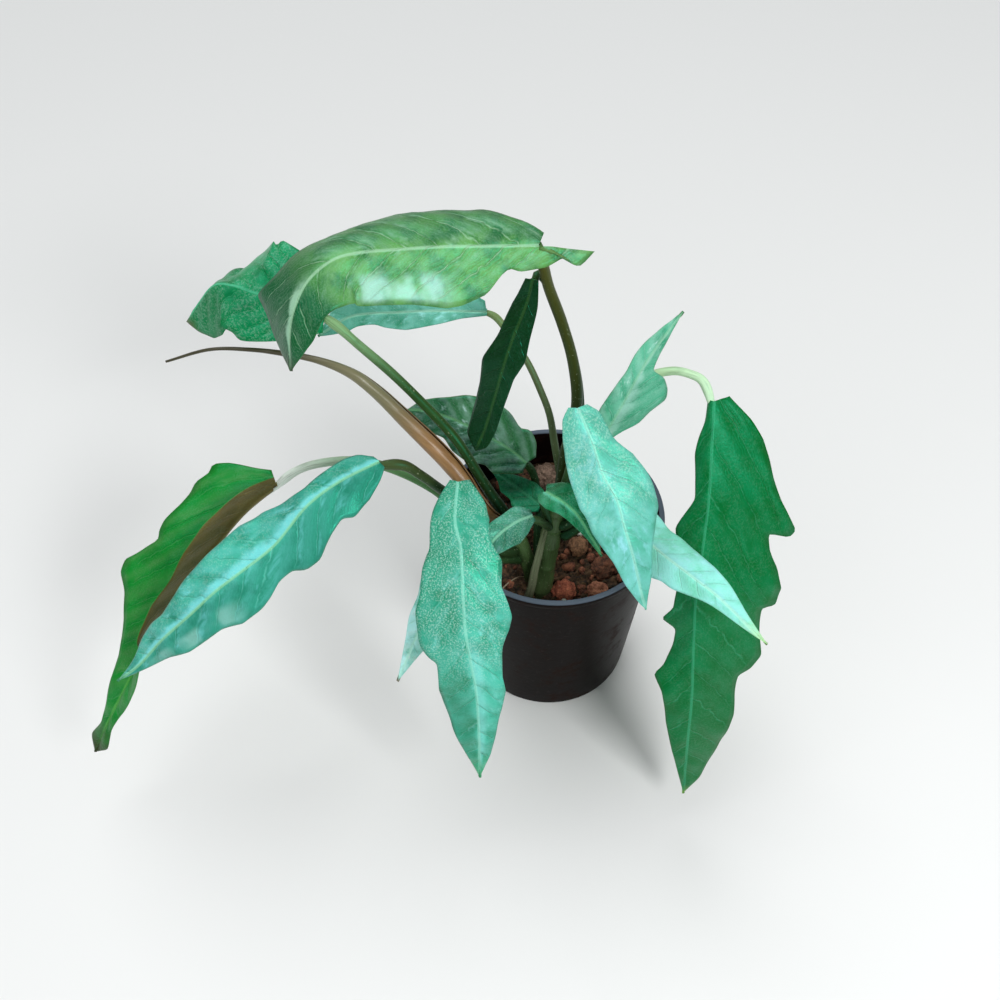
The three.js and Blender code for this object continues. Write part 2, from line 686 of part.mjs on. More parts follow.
// A point of the leaf's middle surface, given flat: a mm along the midrib, c mm out (left is positive).
function leafPoint(leaf, curve, a, c) {
  const length = curve.getLength();
  const frame = leafFrame(leaf, curve, a / length);
  const side = c >= 0 ? "left" : "right";
  const reach = Math.abs(c);
  const fold = radians(ramp(leaf.fold[side], frame.share));
  const bend = radians(ramp(leaf.curl[side], frame.share)) / CURL_SPAN;
  let out = reach * Math.cos(fold);
  let rise = reach * Math.sin(fold);
  if (bend !== 0) {
    out = (Math.sin(fold + bend * reach) - Math.sin(fold)) / bend;
    rise = (Math.cos(fold) - Math.cos(fold + bend * reach)) / bend;
  }
  return frame.origin
    .addScaledVector(frame.along, a - frame.share * length)
    .addScaledVector(frame.left, Math.sign(c) * out)
    .addScaledVector(frame.up, rise);
}

function leafNormal(leaf, curve, a, c) {
  if (Math.abs(c) <= NORMAL_STEP) return leafFrame(leaf, curve, a / curve.getLength()).up;
  const at = (da, dc) => leafPoint(leaf, curve, a + da, c + dc);
  const lengthwise = at(NORMAL_STEP, 0).sub(at(-NORMAL_STEP, 0));
  const crosswise = at(0, NORMAL_STEP).sub(at(0, -NORMAL_STEP));
  return lengthwise.cross(crosswise).normalize();
}

// The edge of one side as a chain of [start of its vein on the midrib, a, c], from the base to the tip.
function edgeChain(leaf, length, side, grow) {
  const sign = side === "left" ? 1 : -1;
  const chain = leaf[side].map(([a, c]) => {
    const away = new THREE.Vector2(a - length / 2, c).normalize().multiplyScalar(grow);
    return [a - c * VEIN_SLANT, a + away.x, sign * (c + away.y)];
  });
  chain.push([length, length + grow, 0]);
  return chain;
}

function edgeAt(chain, start) {
  return [ramp(chain.map(([t, a]) => [t, a]), start), ramp(chain.map(([t, , c]) => [t, c]), start)];
}

function rowStarts(chains, length) {
  const wanted = [...new Set([...chains.flat().map(([t]) => t), 0, length])].sort((p, q) => p - q);
  const rows = [wanted[0]];
  for (const next of wanted.slice(1)) {
    const last = rows[rows.length - 1];
    if (next - last < ROW_LEAST) continue;
    const extra = Math.floor((next - last) / ROW_STEP);
    for (let i = 1; i <= extra; i++) rows.push(last + ((next - last) * i) / (extra + 1));
    rows.push(next);
  }
  if (rows[rows.length - 1] < length) rows[rows.length - 1] = length;
  return rows;
}

// A blade of even thickness with a ridge under the midrib, triangulated alike on both faces.
function bladeGeometry(leaf, grow = 0) {
  const curve = curveThrough(leaf.midrib);
  const length = curve.getLength();
  const chains = {
    left: edgeChain(leaf, length, "left", grow),
    right: edgeChain(leaf, length, "right", grow),
  };
  const rows = rowStarts([chains.left, chains.right], length);
  const flat = [];
  const ids = new Map();
  const vertex = (a, c) => {
    const key = `${a.toFixed(3)},${c.toFixed(3)}`;
    if (!ids.has(key)) {
      ids.set(key, flat.length);
      flat.push([a, c]);
    }
    return ids.get(key);
  };
  const faces = [];
  for (const side of ["left", "right"]) {
    const chain = chains[side];
    const own = rows.filter((t) => t >= chain[0][0] - 1e-6);
    const grid = own.map((t) => {
      const root = THREE.MathUtils.clamp(t, 0, length);
      const [a, c] = edgeAt(chain, t);
      return BLADE_COLUMNS.map((f) => vertex(lerp(root, a, f), lerp(0, c, f)));
    });
    for (let i = 0; i + 1 < grid.length; i++) {
      for (let k = 0; k + 1 < BLADE_COLUMNS.length; k++) {
        const quad = [grid[i][k], grid[i + 1][k], grid[i + 1][k + 1], grid[i][k + 1]];
        if (side === "right") quad.reverse();
        faces.push([quad[0], quad[1], quad[2]], [quad[0], quad[2], quad[3]]);
      }
    }
  }
  const solidFaces = faces.filter(([p, q, r]) => p !== q && q !== r && r !== p);
  return thicken(leaf, curve, flat, solidFaces, grow);
}

// Both faces of a sheet and the wall round its open edge.
function thicken(leaf, curve, flat, faces, grow) {
  const length = curve.getLength();
  const count = flat.length;
  const positions = [];
  const half = BLADE_THICKNESS / 2 + grow;
  const put = (p) => positions.push(p.x, p.y, p.z);
  flat.forEach(([a, c]) => {
    put(leafPoint(leaf, curve, a, c).addScaledVector(leafNormal(leaf, curve, a, c), half));
  });
  flat.forEach(([a, c]) => {
    const ridge = c === 0 && a < length ? lerp(MIDRIB_RIDGE_BASE, MIDRIB_RIDGE_TIP, a / length) : 0;
    put(leafPoint(leaf, curve, a, c).addScaledVector(leafNormal(leaf, curve, a, c), -half - ridge));
  });
  const indices = [];
  const edges = new Set();
  for (const [p, q, r] of faces) {
    indices.push(p, q, r, p + count, r + count, q + count);
    edges.add(`${p},${q}`).add(`${q},${r}`).add(`${r},${p}`);
  }
  for (const edge of edges) {
    const [p, q] = edge.split(",").map(Number);
    if (!edges.has(`${q},${p}`)) indices.push(q, p, p + count, q, p + count, q + count);
  }
  const geometry = new THREE.BufferGeometry();
  geometry.setAttribute("position", new THREE.Float32BufferAttribute(positions, 3));
  geometry.setIndex(indices);
  return geometry;
}

function stalkSolid(stalk, grow = 0) {
  const curve = curveThrough(stalk.points);
  const steps = Math.max(3, Math.round(curve.getLength() / PETIOLE_STEP));
  const radiusAt = (s) => lerp(stalk.radius[0], stalk.radius[1], Math.sqrt(s)) + grow;
  return solidOf(loft(curve, steps, PETIOLE_SIDES, radiusAt));
}

function stemSolid(grow = 0) {
  const tube = ({ points, radius }) =>
    solidOf(loft(curveThrough(points), STEM_STEPS, STEM_SIDES, (s) => ramp(radius, s) + grow));
  return tube(STEM).add(tube(SHOOT));
}

// A scroll's section is round with one overlapping lip.
function rolledSolid() {
  const section = (s, angle) =>
    ramp(ROLLED_LEAF.radius, s) * (1 - ROLLED_LEAF.lip * (angle / (Math.PI * 2)));
  return solidOf(loft(curveThrough(ROLLED_LEAF.points), SCROLL_STEPS, STEM_SIDES, section));
}

// Assembly
const stemRoom = stemSolid(GAP);
const clods = allClods();
const soil = clods.reduce(
  (bed, clod) => bed.subtract(clodSolid(clod, GAP)),
  soilSolid().subtract(stemRoom),
);

addMesh("pot", geometryOf(potSolid()), COLOURS.pot, 0.45);
addMesh("soil", geometryOf(largestBody(soil)), COLOURS.soil, 0.95);
addMesh("stem", geometryOf(stemSolid()), COLOURS.stem, 0.6);
for (const clod of clods) {
  addMesh(clod.name, geometryOf(clodSolid(clod)), COLOURS.clod, 0.9);
}
const rolled = largestBody(rolledSolid().subtract(stemRoom));
addMesh(ROLLED_LEAF.name, geometryOf(rolled), COLOURS.caramel, 0.5);
for (const leaf of LEAVES) {
  addMesh(`blade_${leaf.name}`, bladeGeometry(leaf), leaf.colour, 0.4);
  const room = stemRoom.add(solidOf(bladeGeometry(leaf, GAP)));
  const stalk = largestBody(stalkSolid(leaf.stalk).subtract(room));
  addMesh(`stalk_${leaf.name}`, geometryOf(stalk), leaf.stalk.colour, 0.45);
}

export default plant;
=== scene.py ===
import math
import random

import bpy
import numpy as np
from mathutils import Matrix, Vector, noise


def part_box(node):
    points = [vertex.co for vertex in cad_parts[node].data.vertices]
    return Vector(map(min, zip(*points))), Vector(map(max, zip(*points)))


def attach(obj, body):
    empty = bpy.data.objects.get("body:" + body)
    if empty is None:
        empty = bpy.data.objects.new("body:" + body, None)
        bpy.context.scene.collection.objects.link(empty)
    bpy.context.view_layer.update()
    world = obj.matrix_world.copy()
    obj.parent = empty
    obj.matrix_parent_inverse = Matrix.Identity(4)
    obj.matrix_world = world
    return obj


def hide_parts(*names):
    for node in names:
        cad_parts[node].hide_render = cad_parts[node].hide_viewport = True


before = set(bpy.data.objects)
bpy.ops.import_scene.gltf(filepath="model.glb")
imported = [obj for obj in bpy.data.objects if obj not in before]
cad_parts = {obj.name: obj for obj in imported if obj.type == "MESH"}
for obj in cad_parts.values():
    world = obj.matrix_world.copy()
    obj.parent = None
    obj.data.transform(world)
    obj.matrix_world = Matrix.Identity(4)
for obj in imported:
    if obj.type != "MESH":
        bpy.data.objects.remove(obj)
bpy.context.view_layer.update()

ROOT = "root"
MM = 0.001

bl_info = {
    "name": "Potted philodendron",
    "version": (1, 0, 0),
    "blender": (4, 5, 0),
    "location": "View3D > Sidebar > Plant",
    "description": "Lobed leaves on arching stalks, a rolled caramel leaf, soil and a nursery pot",
    "category": "Object",
}

# Sizes are in millimetres unless a name or comment says otherwise. The pot's own come from its solid.
POT_LOW, POT_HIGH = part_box("pot")
POT_RIM_RADIUS = (POT_HIGH[0] - POT_LOW[0]) / 2 / MM
POT_HEIGHT = POT_HIGH[2] / MM
POT_BASE_RADIUS = 50
POT_WALL = 1.6
POT_FLOOR = 2.4
POT_BASE_ROUND = 3
POT_STEPS = 96
RIM_LIP_HEIGHT = 5
RIM_LIP_REACH = 1.6
DRAIN_HOLES = 6
DRAIN_HOLE_RADIUS = 3.5
DRAIN_HOLE_SIDES = 32
DRAIN_RING_RADIUS = 36
SHARPEST_SMOOTH_ANGLE = 40

# The soil's rows run from the middle of its top to its edge, down its side and back under it.
SOIL_LEVEL = 112
SOIL_LUMP = 3.2
SOIL_EDGE_DROP = 1
SOIL_EDGE_WIDTH = 5
SOIL_ROWS = 130
SOIL_COLUMNS = 150
SOIL_TOP_SHARE = 0.86
SOIL_SIDE_SHARE = 0.94
GAP = 0.3

# What lies loose on the soil, clear of the stem's foot
LITTER_RADIUS = 54
CRUMB_SIZES = (0.8, 1.1, 1.4, 1.9, 2.6)
CRUMB_LIFT = 0.9
GRAIN_LIFT = 1.2
STEM_FOOT = (-9, -38)
STEM_CLEARANCE = 9

# Leaf sheets: the slant and sweep of the side veins, the grid, and the softness of the edge
VEIN_SLANT = 0.6
LOOK_SLANT = 1.1
VEIN_SWEEP = -0.012
CURL_SPAN = 10
COLUMNS_A_SIDE = 12
COLUMN_CROWDING = 1.5
FEWEST_ROWS = 12
ROW_SEARCH_STEPS = 1600
EDGE_SOFTENING = 1.3
EDGE_STEP = 0.4
HALF_SOLID_BLADE = 0.45
BLADE_THICKNESS_AT_RIDGE = 2.2
RIB_WIDTH = 1.5
GROOVE_WIDTH = 0.8
LOBE_WIDTH = 14
LEAF_SHEEN = (60, 248, 198)
NO_CURL = {"left": 0, "right": 0}

STALK_COLUMNS = 22
STALK_ROW_STEP = 1.7
STALK_TAIL = (3, 10, 20)

SCROLL_ROWS = 150
SCROLL_COLUMNS = 56
SCROLL_TURNS = 1.3
SCROLL_START = 0.3
SCROLL_TWIST = 0.35
SCROLL_THICKNESS = 0.7

MERGE_DISTANCE = 0.002

# Stage, in metres and degrees
FLOOR_SIZE = 60
LIGHT_AIM = (-0.03, -0.03, 0.2)
CEILING_PLACE = (-0.3, 0.6, 1.8)
CEILING_TILT = (-24, -12)
CEILING_SPREAD = 50
CAMERA_PLACE = (-0.031, -0.4143, 0.6811)
SENSOR_MM = 36
NEAREST_SEEN = 0.01

# The main stem and the shoot beside it: centre line and thickness
STEM = {
    "points": [(-9, -39, 88), (-8, -37, 108), (-5, -30, 135), (-2, -23, 156), (0, -20, 168), (1, -18, 176)],
    "radius": [(0, 6.5), (0.6, 5.6), (0.92, 5), (1, 3.4)],
}
SHOOT = {
    "points": [(-9, -37, 96), (-13, -32, 118), (-18, -28, 138), (-24, -26, 152), (-29, -25, 163)],
    "radius": [(0, 4.6), (0.6, 4.4), (0.92, 4.2), (1, 3)],
}
STEM_RINGS = [0.28, 0.47, 0.62, 0.75, 0.87]

# Dry sheaths along the stem: their line, and the width and sideways shift of each
SHEATH_LINE = [(-11, -40, 112), (-9, -38, 124), (-6.5, -33, 138), (-3.5, -27, 150), (-1, -22, 161)]
SHEATH_OFFSET = (-5.5, -3.4)
SHEATHS = [(2.5, 0.3), (3.4, 1.8)]

# The rolled new leaf: centre line and thickness
ROLLED_LEAF = {
    "points": [
        (-28, -26, 158), (-36, -27, 167), (-44, -21, 175), (-50, -14, 181), (-62, -4, 191), (-81, 8, 206),
        (-96, 17, 218), (-109, 22, 227), (-125, 26, 232), (-143, 30, 233), (-162, 33, 233), (-184, 35, 231),
        (-209, 36, 221),
    ],
    "radius": [
        (0, 3.6), (0.1, 4.2), (0.2, 5.2), (0.38, 4.6), (0.5, 3.4), (0.62, 2.1), (0.75, 1.3), (1, 0.7),
    ],
}

# Each leaf: the midrib from base to tip, the way its upper face looks at shares of the length, the
# fold of each half in degrees (up is positive), its curl, if any, in degrees for each 10 mm out, its
# edge as (mm along the midrib, mm out from it), and the stalk that carries it.
LEAVES = [
    {
        "name": "top",
        "midrib": [
            (-13, 22, 312), (-37, 18, 315), (-58, 14, 318), (-76, 10, 320), (-96, 5, 322), (-108, 0, 321),
            (-119, -8, 314), (-126, -18, 300), (-128, -26, 278),
        ],
        "face": [
            (0, (0, -0.35, 1)), (0.55, (-0.1, -0.35, 1)), (0.72, (-0.45, -0.5, 0.7)),
            (1, (-0.8, -0.6, 0.3)),
        ],
        "fold": {
            "left": [(0, -32), (0.6, -28), (1, -5)],
            "right": [(0, 22), (0.35, 12), (0.55, -6), (0.75, -14), (1, -8)],
        },
        "curl": {"left": 0, "right": [(0, -30), (0.6, -18), (0.8, 0), (1, 0)]},
        "left": [
            (-27, 3), (-20, 10), (-16, 9), (-13, 5), (-4, 10), (9, 12), (14, 10), (19, 14), (25, 22),
            (37, 27), (45, 28), (63, 25), (86, 24), (111, 19), (125, 15), (137, 13), (147, 7),
        ],
        "right": [
            (-3, 6), (6, 14), (16, 20), (24, 24), (30, 24), (45, 32), (60, 36), (66, 32), (78, 30),
            (90, 25), (103, 21), (113, 23), (124, 27), (130, 32), (137, 25), (146, 18), (152, 10),
        ],
        "stalk": [
            (1, -17, 160), (2, -11, 179), (4, -3, 193), (8, 5, 207), (9, 12, 222), (6, 20, 240),
            (0, 25, 260), (-7, 27, 281), (-11, 26, 298), (-13, 23, 309),
        ],
        "stalk_radius": (3.4, 2.7),
    },
    {
        "name": "right_big",
        "midrib": [
            (75, -12, 242), (74, -30, 226), (73, -48, 209), (71, -64, 188), (69, -79, 166), (70, -92, 138),
            (72, -104, 106), (73, -112, 75), (76, -120, 23),
        ],
        "face": [(0, (0.1, -0.75, 0.7)), (1, (0.1, -0.85, 0.5))],
        "fold": {"left": -10, "right": [(0, -50), (0.5, -46), (0.65, -20), (1, -12)]},
        "left": [
            (-3, 8), (8, 20), (18, 28), (27, 32), (37, 35), (49, 40), (65, 51), (69, 48), (67, 36),
            (76, 38), (85, 44), (101, 48), (115, 46), (115, 38), (133, 38), (148, 40), (156, 34), (159, 27),
            (171, 26), (187, 26), (216, 19), (240, 9),
        ],
        "right": [
            (-1, 4), (10, 5), (18, 8), (27, 10), (38, 9), (50, 8), (60, 13), (68, 17), (82, 14), (100, 12),
            (112, 13), (121, 20), (124, 11), (134, 12), (147, 16), (153, 21), (163, 16), (187, 13),
            (222, 6),
        ],
        "stalk": [
            (4, -22, 165), (12, -17, 181), (22, -7, 208), (33, 0, 230), (43, 3, 243), (54, 2, 249),
            (63, 0, 249), (70, -4, 247), (75, -11, 243),
        ],
        "stalk_radius": (3.2, 2.1),
    },
    {
        "name": "front",
        "midrib": [
            (-52, -42, 216), (-53, -62, 211), (-50, -76, 205), (-49, -93, 191), (-48, -104, 177),
            (-46, -112, 165), (-43, -120, 144), (-42, -126, 114), (-42, -132, 70),
        ],
        "face": [(0, (0, -0.45, 0.9)), (0.4, (0, -0.7, 0.7)), (1, (0, -0.9, 0.4))],
        "fold": {"left": -10, "right": -8},
        "left": [
            (-2, 6), (3, 10), (10, 15), (21, 17), (34, 15), (42, 20), (55, 19), (64, 22), (73, 24),
            (81, 22), (90, 17), (107, 14), (116, 15), (136, 11), (168, 6),
        ],
        "right": [
            (-1, 4), (7, 8), (15, 11), (23, 13), (29, 15), (45, 20), (56, 21), (66, 24), (82, 24), (91, 20),
            (93, 17), (113, 19), (123, 18), (144, 14), (164, 8),
        ],
        "stalk": [
            (-22, -30, 140), (-31, -37, 150), (-42, -40, 165), (-50, -40, 183), (-54, -40, 201),
            (-53, -41, 213),
        ],
        "stalk_radius": (3, 2.2),
    },
    {
        "name": "left_front",
        "midrib": [
            (-91, -34, 222), (-110, -46, 221), (-126, -57, 215), (-142, -70, 201), (-159, -80, 192),
            (-172, -87, 185), (-186, -93, 173), (-202, -98, 158), (-217, -102, 140), (-230, -106, 130),
        ],
        "face": [(0, (-0.2, -0.5, 0.9)), (1, (-0.3, -0.8, 0.6))],
        "fold": {"left": -10, "right": -12},
        "left": [
            (-1, 4), (4, 9), (13, 15), (26, 19), (32, 16), (40, 18), (51, 20), (59, 22), (66, 20), (70, 15),
            (77, 15), (85, 19), (93, 21), (106, 21), (118, 16), (139, 14), (153, 9), (174, 3),
        ],
        "right": [
            (1, 4), (7, 9), (15, 10), (28, 9), (38, 8), (51, 12), (61, 18), (77, 20), (89, 19), (100, 18),
            (115, 16), (129, 13), (140, 10), (149, 11), (159, 9), (174, 4),
        ],
        "stalk": [
            (-24, -28, 148), (-34, -29, 154), (-44, -31, 166), (-54, -30, 185), (-63, -32, 199),
            (-71, -33, 210), (-80, -33, 218), (-90, -34, 221),
        ],
        "stalk_radius": (3.2, 2.4),
    },
    {
        "name": "left_big",
        "midrib": [
            (-151, -14, 179), (-170, -28, 170), (-188, -48, 157), (-204, -66, 141), (-225, -86, 117),
            (-244, -102, 88), (-259, -112, 60),
        ],
        "face": [(0, (-0.2, -0.5, 0.9)), (0.5, (-0.3, -0.6, 0.8)), (1, (-0.4, -0.8, 0.5))],
        "fold": {"left": [(0, 105), (0.45, 105), (0.8, 10), (1, 0)], "right": -6},
        "left": [
            (-2, 5), (10, 12), (25, 17), (40, 18), (55, 18), (70, 16), (85, 15), (97, 17), (104, 22),
            (112, 16), (126, 12), (142, 9), (160, 5), (172, 4), (184, 7),
        ],
        "right": [
            (-3, 8), (4, 16), (13, 28), (19, 34), (22, 31), (28, 34), (33, 32), (41, 32), (52, 34),
            (58, 33), (62, 30), (70, 35), (84, 42), (92, 40), (99, 31), (111, 22), (129, 13), (144, 10),
            (160, 6), (172, 4), (184, 7),
        ],
        "stalk": [
            (-18, -24, 136), (-29, -22, 146), (-40, -22, 157), (-54, -23, 170), (-66, -20, 182),
            (-81, -16, 190), (-97, -13, 195), (-112, -11, 195), (-129, -12, 193), (-141, -13, 187),
            (-150, -14, 180),
        ],
        "stalk_radius": (3.2, 2.2),
    },
    {
        "name": "back_left",
        "midrib": [
            (-121, 38, 253), (-139, 43, 257), (-157, 48, 259), (-170, 53, 260), (-180, 56, 257),
            (-190, 58, 244), (-200, 58, 229),
        ],
        "face": [
            (0, (0, -0.5, 1)), (0.55, (-0.1, -0.5, 1)), (0.75, (-0.6, -0.5, 0.7)), (1, (-0.8, -0.6, 0.3)),
        ],
        "fold": {"left": [(0, -20), (1, -10)], "right": [(0, 12), (0.4, 0), (0.6, -55), (1, -65)]},
        "left": [(-2, 9), (13, 19), (27, 23), (39, 26), (42, 23), (60, 22), (75, 24), (87, 20), (94, 10)],
        "right": [
            (0, 10), (10, 20), (21, 27), (33, 31), (35, 27), (44, 32), (48, 27), (56, 28), (66, 20),
            (80, 14), (92, 8),
        ],
        "stalk": [
            (-26, -24, 155), (-30, -19, 163), (-36, -15, 172), (-42, -11, 182), (-54, -1, 200),
            (-70, 11, 213), (-87, 22, 226), (-104, 31, 238), (-115, 36, 247), (-120, 38, 252),
        ],
        "stalk_radius": (3.1, 2.4),
    },
    {
        "name": "back_low",
        "midrib": [(-38, 56, 238), (-63, 58, 237), (-85, 60, 234), (-111, 60, 231), (-130, 56, 220)],
        "face": [(0, (0, -0.8, 0.7)), (1, (-0.2, -0.8, 0.7))],
        "fold": {"left": -8, "right": 8},
        "left": [(0, 2), (14, 4), (25, 7), (37, 9), (45, 10), (56, 8), (61, 6), (72, 6), (80, 7), (88, 4)],
        "right": [(1, 6), (12, 12), (25, 15), (46, 16), (62, 14), (77, 9), (88, 4)],
        "stalk": [
            (-3, -25, 143), (3, -13, 147), (4, -3, 156), (2, 5, 166), (-1, 13, 180), (-4, 22, 194),
            (-9, 32, 203), (-16, 42, 214), (-26, 50, 227), (-33, 55, 235), (-38, 56, 238),
        ],
        "stalk_radius": (2.6, 1.7),
    },
    {
        "name": "hanging",
        "midrib": [
            (-15, 28, 286), (-18, 23, 274), (-24, 16, 260), (-29, 9, 246), (-34, 3, 227), (-39, -2, 209),
            (-44, -6, 197),
        ],
        "face": [(0, (-0.5, -0.8, 0.5)), (1, (-0.5, -0.85, 0.3))],
        "fold": {"left": -10, "right": -10},
        "left": [(0, 3), (13, 6), (27, 8), (41, 10), (52, 7), (69, 6), (82, 6), (95, 5)],
        "right": [(1, 4), (16, 8), (33, 9), (49, 13), (63, 11), (79, 11), (94, 9)],
        "stalk": [
            (1, -20, 151), (9, -8, 161), (12, 7, 182), (12, 18, 208), (8, 27, 231), (1, 32, 253),
            (-6, 35, 272), (-12, 34, 284), (-15, 29, 287),
        ],
        "stalk_radius": (2.4, 1.8),
    },
    {
        "name": "spear_right",
        "midrib": [(21, -22, 227), (30, -18, 250), (38, -12, 268), (47, -6, 282), (55, 0, 291)],
        "face": [(0, (0.1, -0.8, 0.6)), (1, (0.2, -0.9, 0.3))],
        "fold": {"left": 10, "right": -12},
        "left": [(0, 4), (6, 8), (16, 10), (26, 9), (40, 7), (49, 8), (56, 7), (66, 4)],
        "right": [
            (1, 5), (6, 8), (12, 13), (21, 16), (30, 21), (36, 19), (42, 14), (44, 6), (53, 4), (61, 3),
        ],
        "stalk": [(1, -25, 155), (10, -27, 166), (15, -26, 185), (18, -24, 206), (21, -22, 226)],
        "stalk_radius": (2.6, 1.8),
    },
    {
        "name": "front_right",
        "midrib": [
            (6, -30, 257), (13, -42, 246), (18, -52, 235), (25, -61, 226), (29, -70, 216), (34, -80, 203),
            (39, -88, 184), (42, -91, 175),
        ],
        "face": [(0, (0.1, -0.6, 0.9)), (1, (0, -0.8, 0.7))],
        "fold": {"left": -12, "right": -10},
        "left": [(0, 5), (6, 10), (20, 11), (30, 18), (46, 20), (58, 20), (66, 16), (78, 10), (95, 6)],
        "right": [
            (-2, 4), (2, 9), (12, 13), (22, 15), (34, 16), (43, 18), (61, 16), (78, 10), (92, 7), (106, 2),
        ],
        "stalk": [(0, -20, 170), (4, -21, 190), (6, -25, 218), (6, -28, 242), (6, -30, 256)],
        "stalk_radius": (3, 2.3),
    },
    {
        "name": "front_right_low",
        "midrib": [
            (27, -34, 187), (46, -60, 187), (63, -84, 194), (74, -97, 196), (88, -111, 191),
            (97, -117, 185),
        ],
        "face": [(0, (0.2, -0.6, 0.9)), (1, (0.2, -0.8, 0.7))],
        "fold": {"left": -8, "right": -8},
        "left": [(-2, 9), (10, 14), (22, 14), (32, 12), (41, 13), (55, 12), (67, 11), (81, 8), (95, 4)],
        "right": [
            (-3, 6), (9, 12), (20, 15), (31, 14), (45, 13), (50, 11), (58, 11), (72, 7), (82, 5), (95, 3),
        ],
        "stalk": [(2, -27, 148), (11, -26, 155), (18, -29, 166), (24, -32, 179), (27, -34, 186)],
        "stalk_radius": (2.6, 2),
    },
    {
        "name": "behind_front",
        "midrib": [(-59, -60, 174), (-66, -76, 161), (-73, -86, 148), (-79, -92, 133), (-86, -96, 112)],
        "face": [(0, (-0.2, -0.7, 0.8)), (1, (-0.2, -0.8, 0.5))],
        "fold": {"left": -8, "right": -8},
        "left": [(-1, 4), (12, 9), (28, 10), (36, 8), (48, 7), (60, 4)],
        "right": [(-1, 4), (12, 10), (22, 8), (34, 8), (48, 5), (60, 3)],
        "stalk": [(-19, -30, 132), (-28, -36, 140), (-39, -45, 152), (-50, -54, 166), (-58, -59, 173)],
        "stalk_radius": (2.4, 1.8),
    },
    {
        "name": "small_front",
        "midrib": [(-14, -36, 180), (-22, -42, 183), (-31, -50, 183), (-39, -58, 178), (-45, -64, 171)],
        "face": [(0, (0, -0.5, 0.85)), (1, (-0.2, -0.5, 0.85))],
        "fold": {"left": 8, "right": 10},
        "left": [(0, 3), (8, 8), (18, 11), (26, 9), (36, 5)],
        "right": [(0, 3), (8, 8), (16, 7), (26, 8), (36, 4)],
        "stalk": [(-3, -25, 155), (-7, -29, 163), (-11, -33, 172), (-14, -36, 179)],
        "stalk_radius": (2.2, 1.7),
    },
    {
        "name": "back_broad",
        "midrib": [
            (-16, 18, 158), (-25, 26, 160), (-40, 36, 162), (-60, 46, 165), (-74, 52, 164), (-85, 56, 161),
        ],
        "face": [(0, (0, -0.5, 0.9)), (1, (-0.2, -0.5, 0.9))],
        "fold": {"left": -8, "right": 8},
        "left": [(-2, 6), (4, 12), (13, 17), (21, 15), (31, 19), (43, 17), (51, 12), (59, 12), (71, 7)],
        "right": [(-2, 6), (3, 12), (10, 16), (14, 13), (23, 18), (35, 20), (49, 16), (57, 11), (71, 6)],
        "stalk": [(-6, -31, 118), (-5, -12, 124), (-8, 8, 133), (-12, 20, 146), (-16, 18, 157)],
        "stalk_radius": (2.6, 2),
    },
    {
        "name": "small_middle",
        "midrib": [(-7, -24, 185), (0, -35, 192), (8, -43, 191), (15, -50, 182), (22, -55, 170)],
        "face": [(0, (0, -0.4, 0.9)), (1, (0.1, -0.5, 0.85))],
        "fold": {"left": 12, "right": 14},
        "left": [(-3, 4), (6, 8), (16, 11), (22, 9), (30, 9), (40, 4)],
        "right": [(-2, 4), (5, 8), (14, 9), (20, 7), (28, 6), (38, 3)],
        "stalk": [(-3, -24, 158), (-6, -24, 167), (-8, -23, 176), (-7, -24, 184)],
        "stalk_radius": (2.2, 1.7),
    },
    {
        "name": "small_back",
        "midrib": [(-8, -3, 146), (-17, 8, 143), (-27, 20, 140), (-37, 30, 139)],
        "face": [(0, (0, -0.5, 0.85)), (1, (0, -0.5, 0.85))],
        "fold": {"left": 5, "right": -6},
        "left": [(-2, 4), (6, 10), (14, 11), (18, 8), (28, 8), (34, 4)],
        "right": [(-2, 4), (5, 8), (14, 9), (24, 7), (34, 4)],
        "stalk": [(-7, -33, 124), (-10, -23, 129), (-10, -12, 138), (-8, -4, 145)],
        "stalk_radius": (2.3, 1.8),
    },
]

CLODS = [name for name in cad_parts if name.startswith("clod_")]

# Colours are sRGB, as a paint chart gives them. A leaf's colours and marks are inputs of its material.
LEAF_COLOURS = ("deep", "middle", "pale", "midrib", "vein", "margin", "tip")

# Marks of a leaf whose own row does not say otherwise. Halves and sides are 1 for left and -1 for right,
# "patch_size" is in millimetres, and what ends in "from", "to" or "at" is a share of the leaf's length.
LEAF_MARKS = {
    "patches": 0.3, "patch_size": 20.0, "specks": 0.2, "speck_side": 0.0, "band": 0.0, "band_side": 0.0,
    "vein_tone": 0.3, "tip_from": 0.95, "rough": 0.3, "seed": 0.0, "shade_half": 0.0, "shade": 0.0,
    "tip_shade": 0.0, "strokes": 0.3, "shade_from": 0.5, "band_from": -1.0, "band_width": 1.0, "glare": 0.0,
    "glare_at": 0.4, "specks_to": 1.4, "base_shade": 0.0, "groove": 0.13,
}
UNDERSIDE_SHARES = ("margin", "tip", "patch_size", "speck_side", "band_side", "tip_from", "seed")
QUILT = 0.4

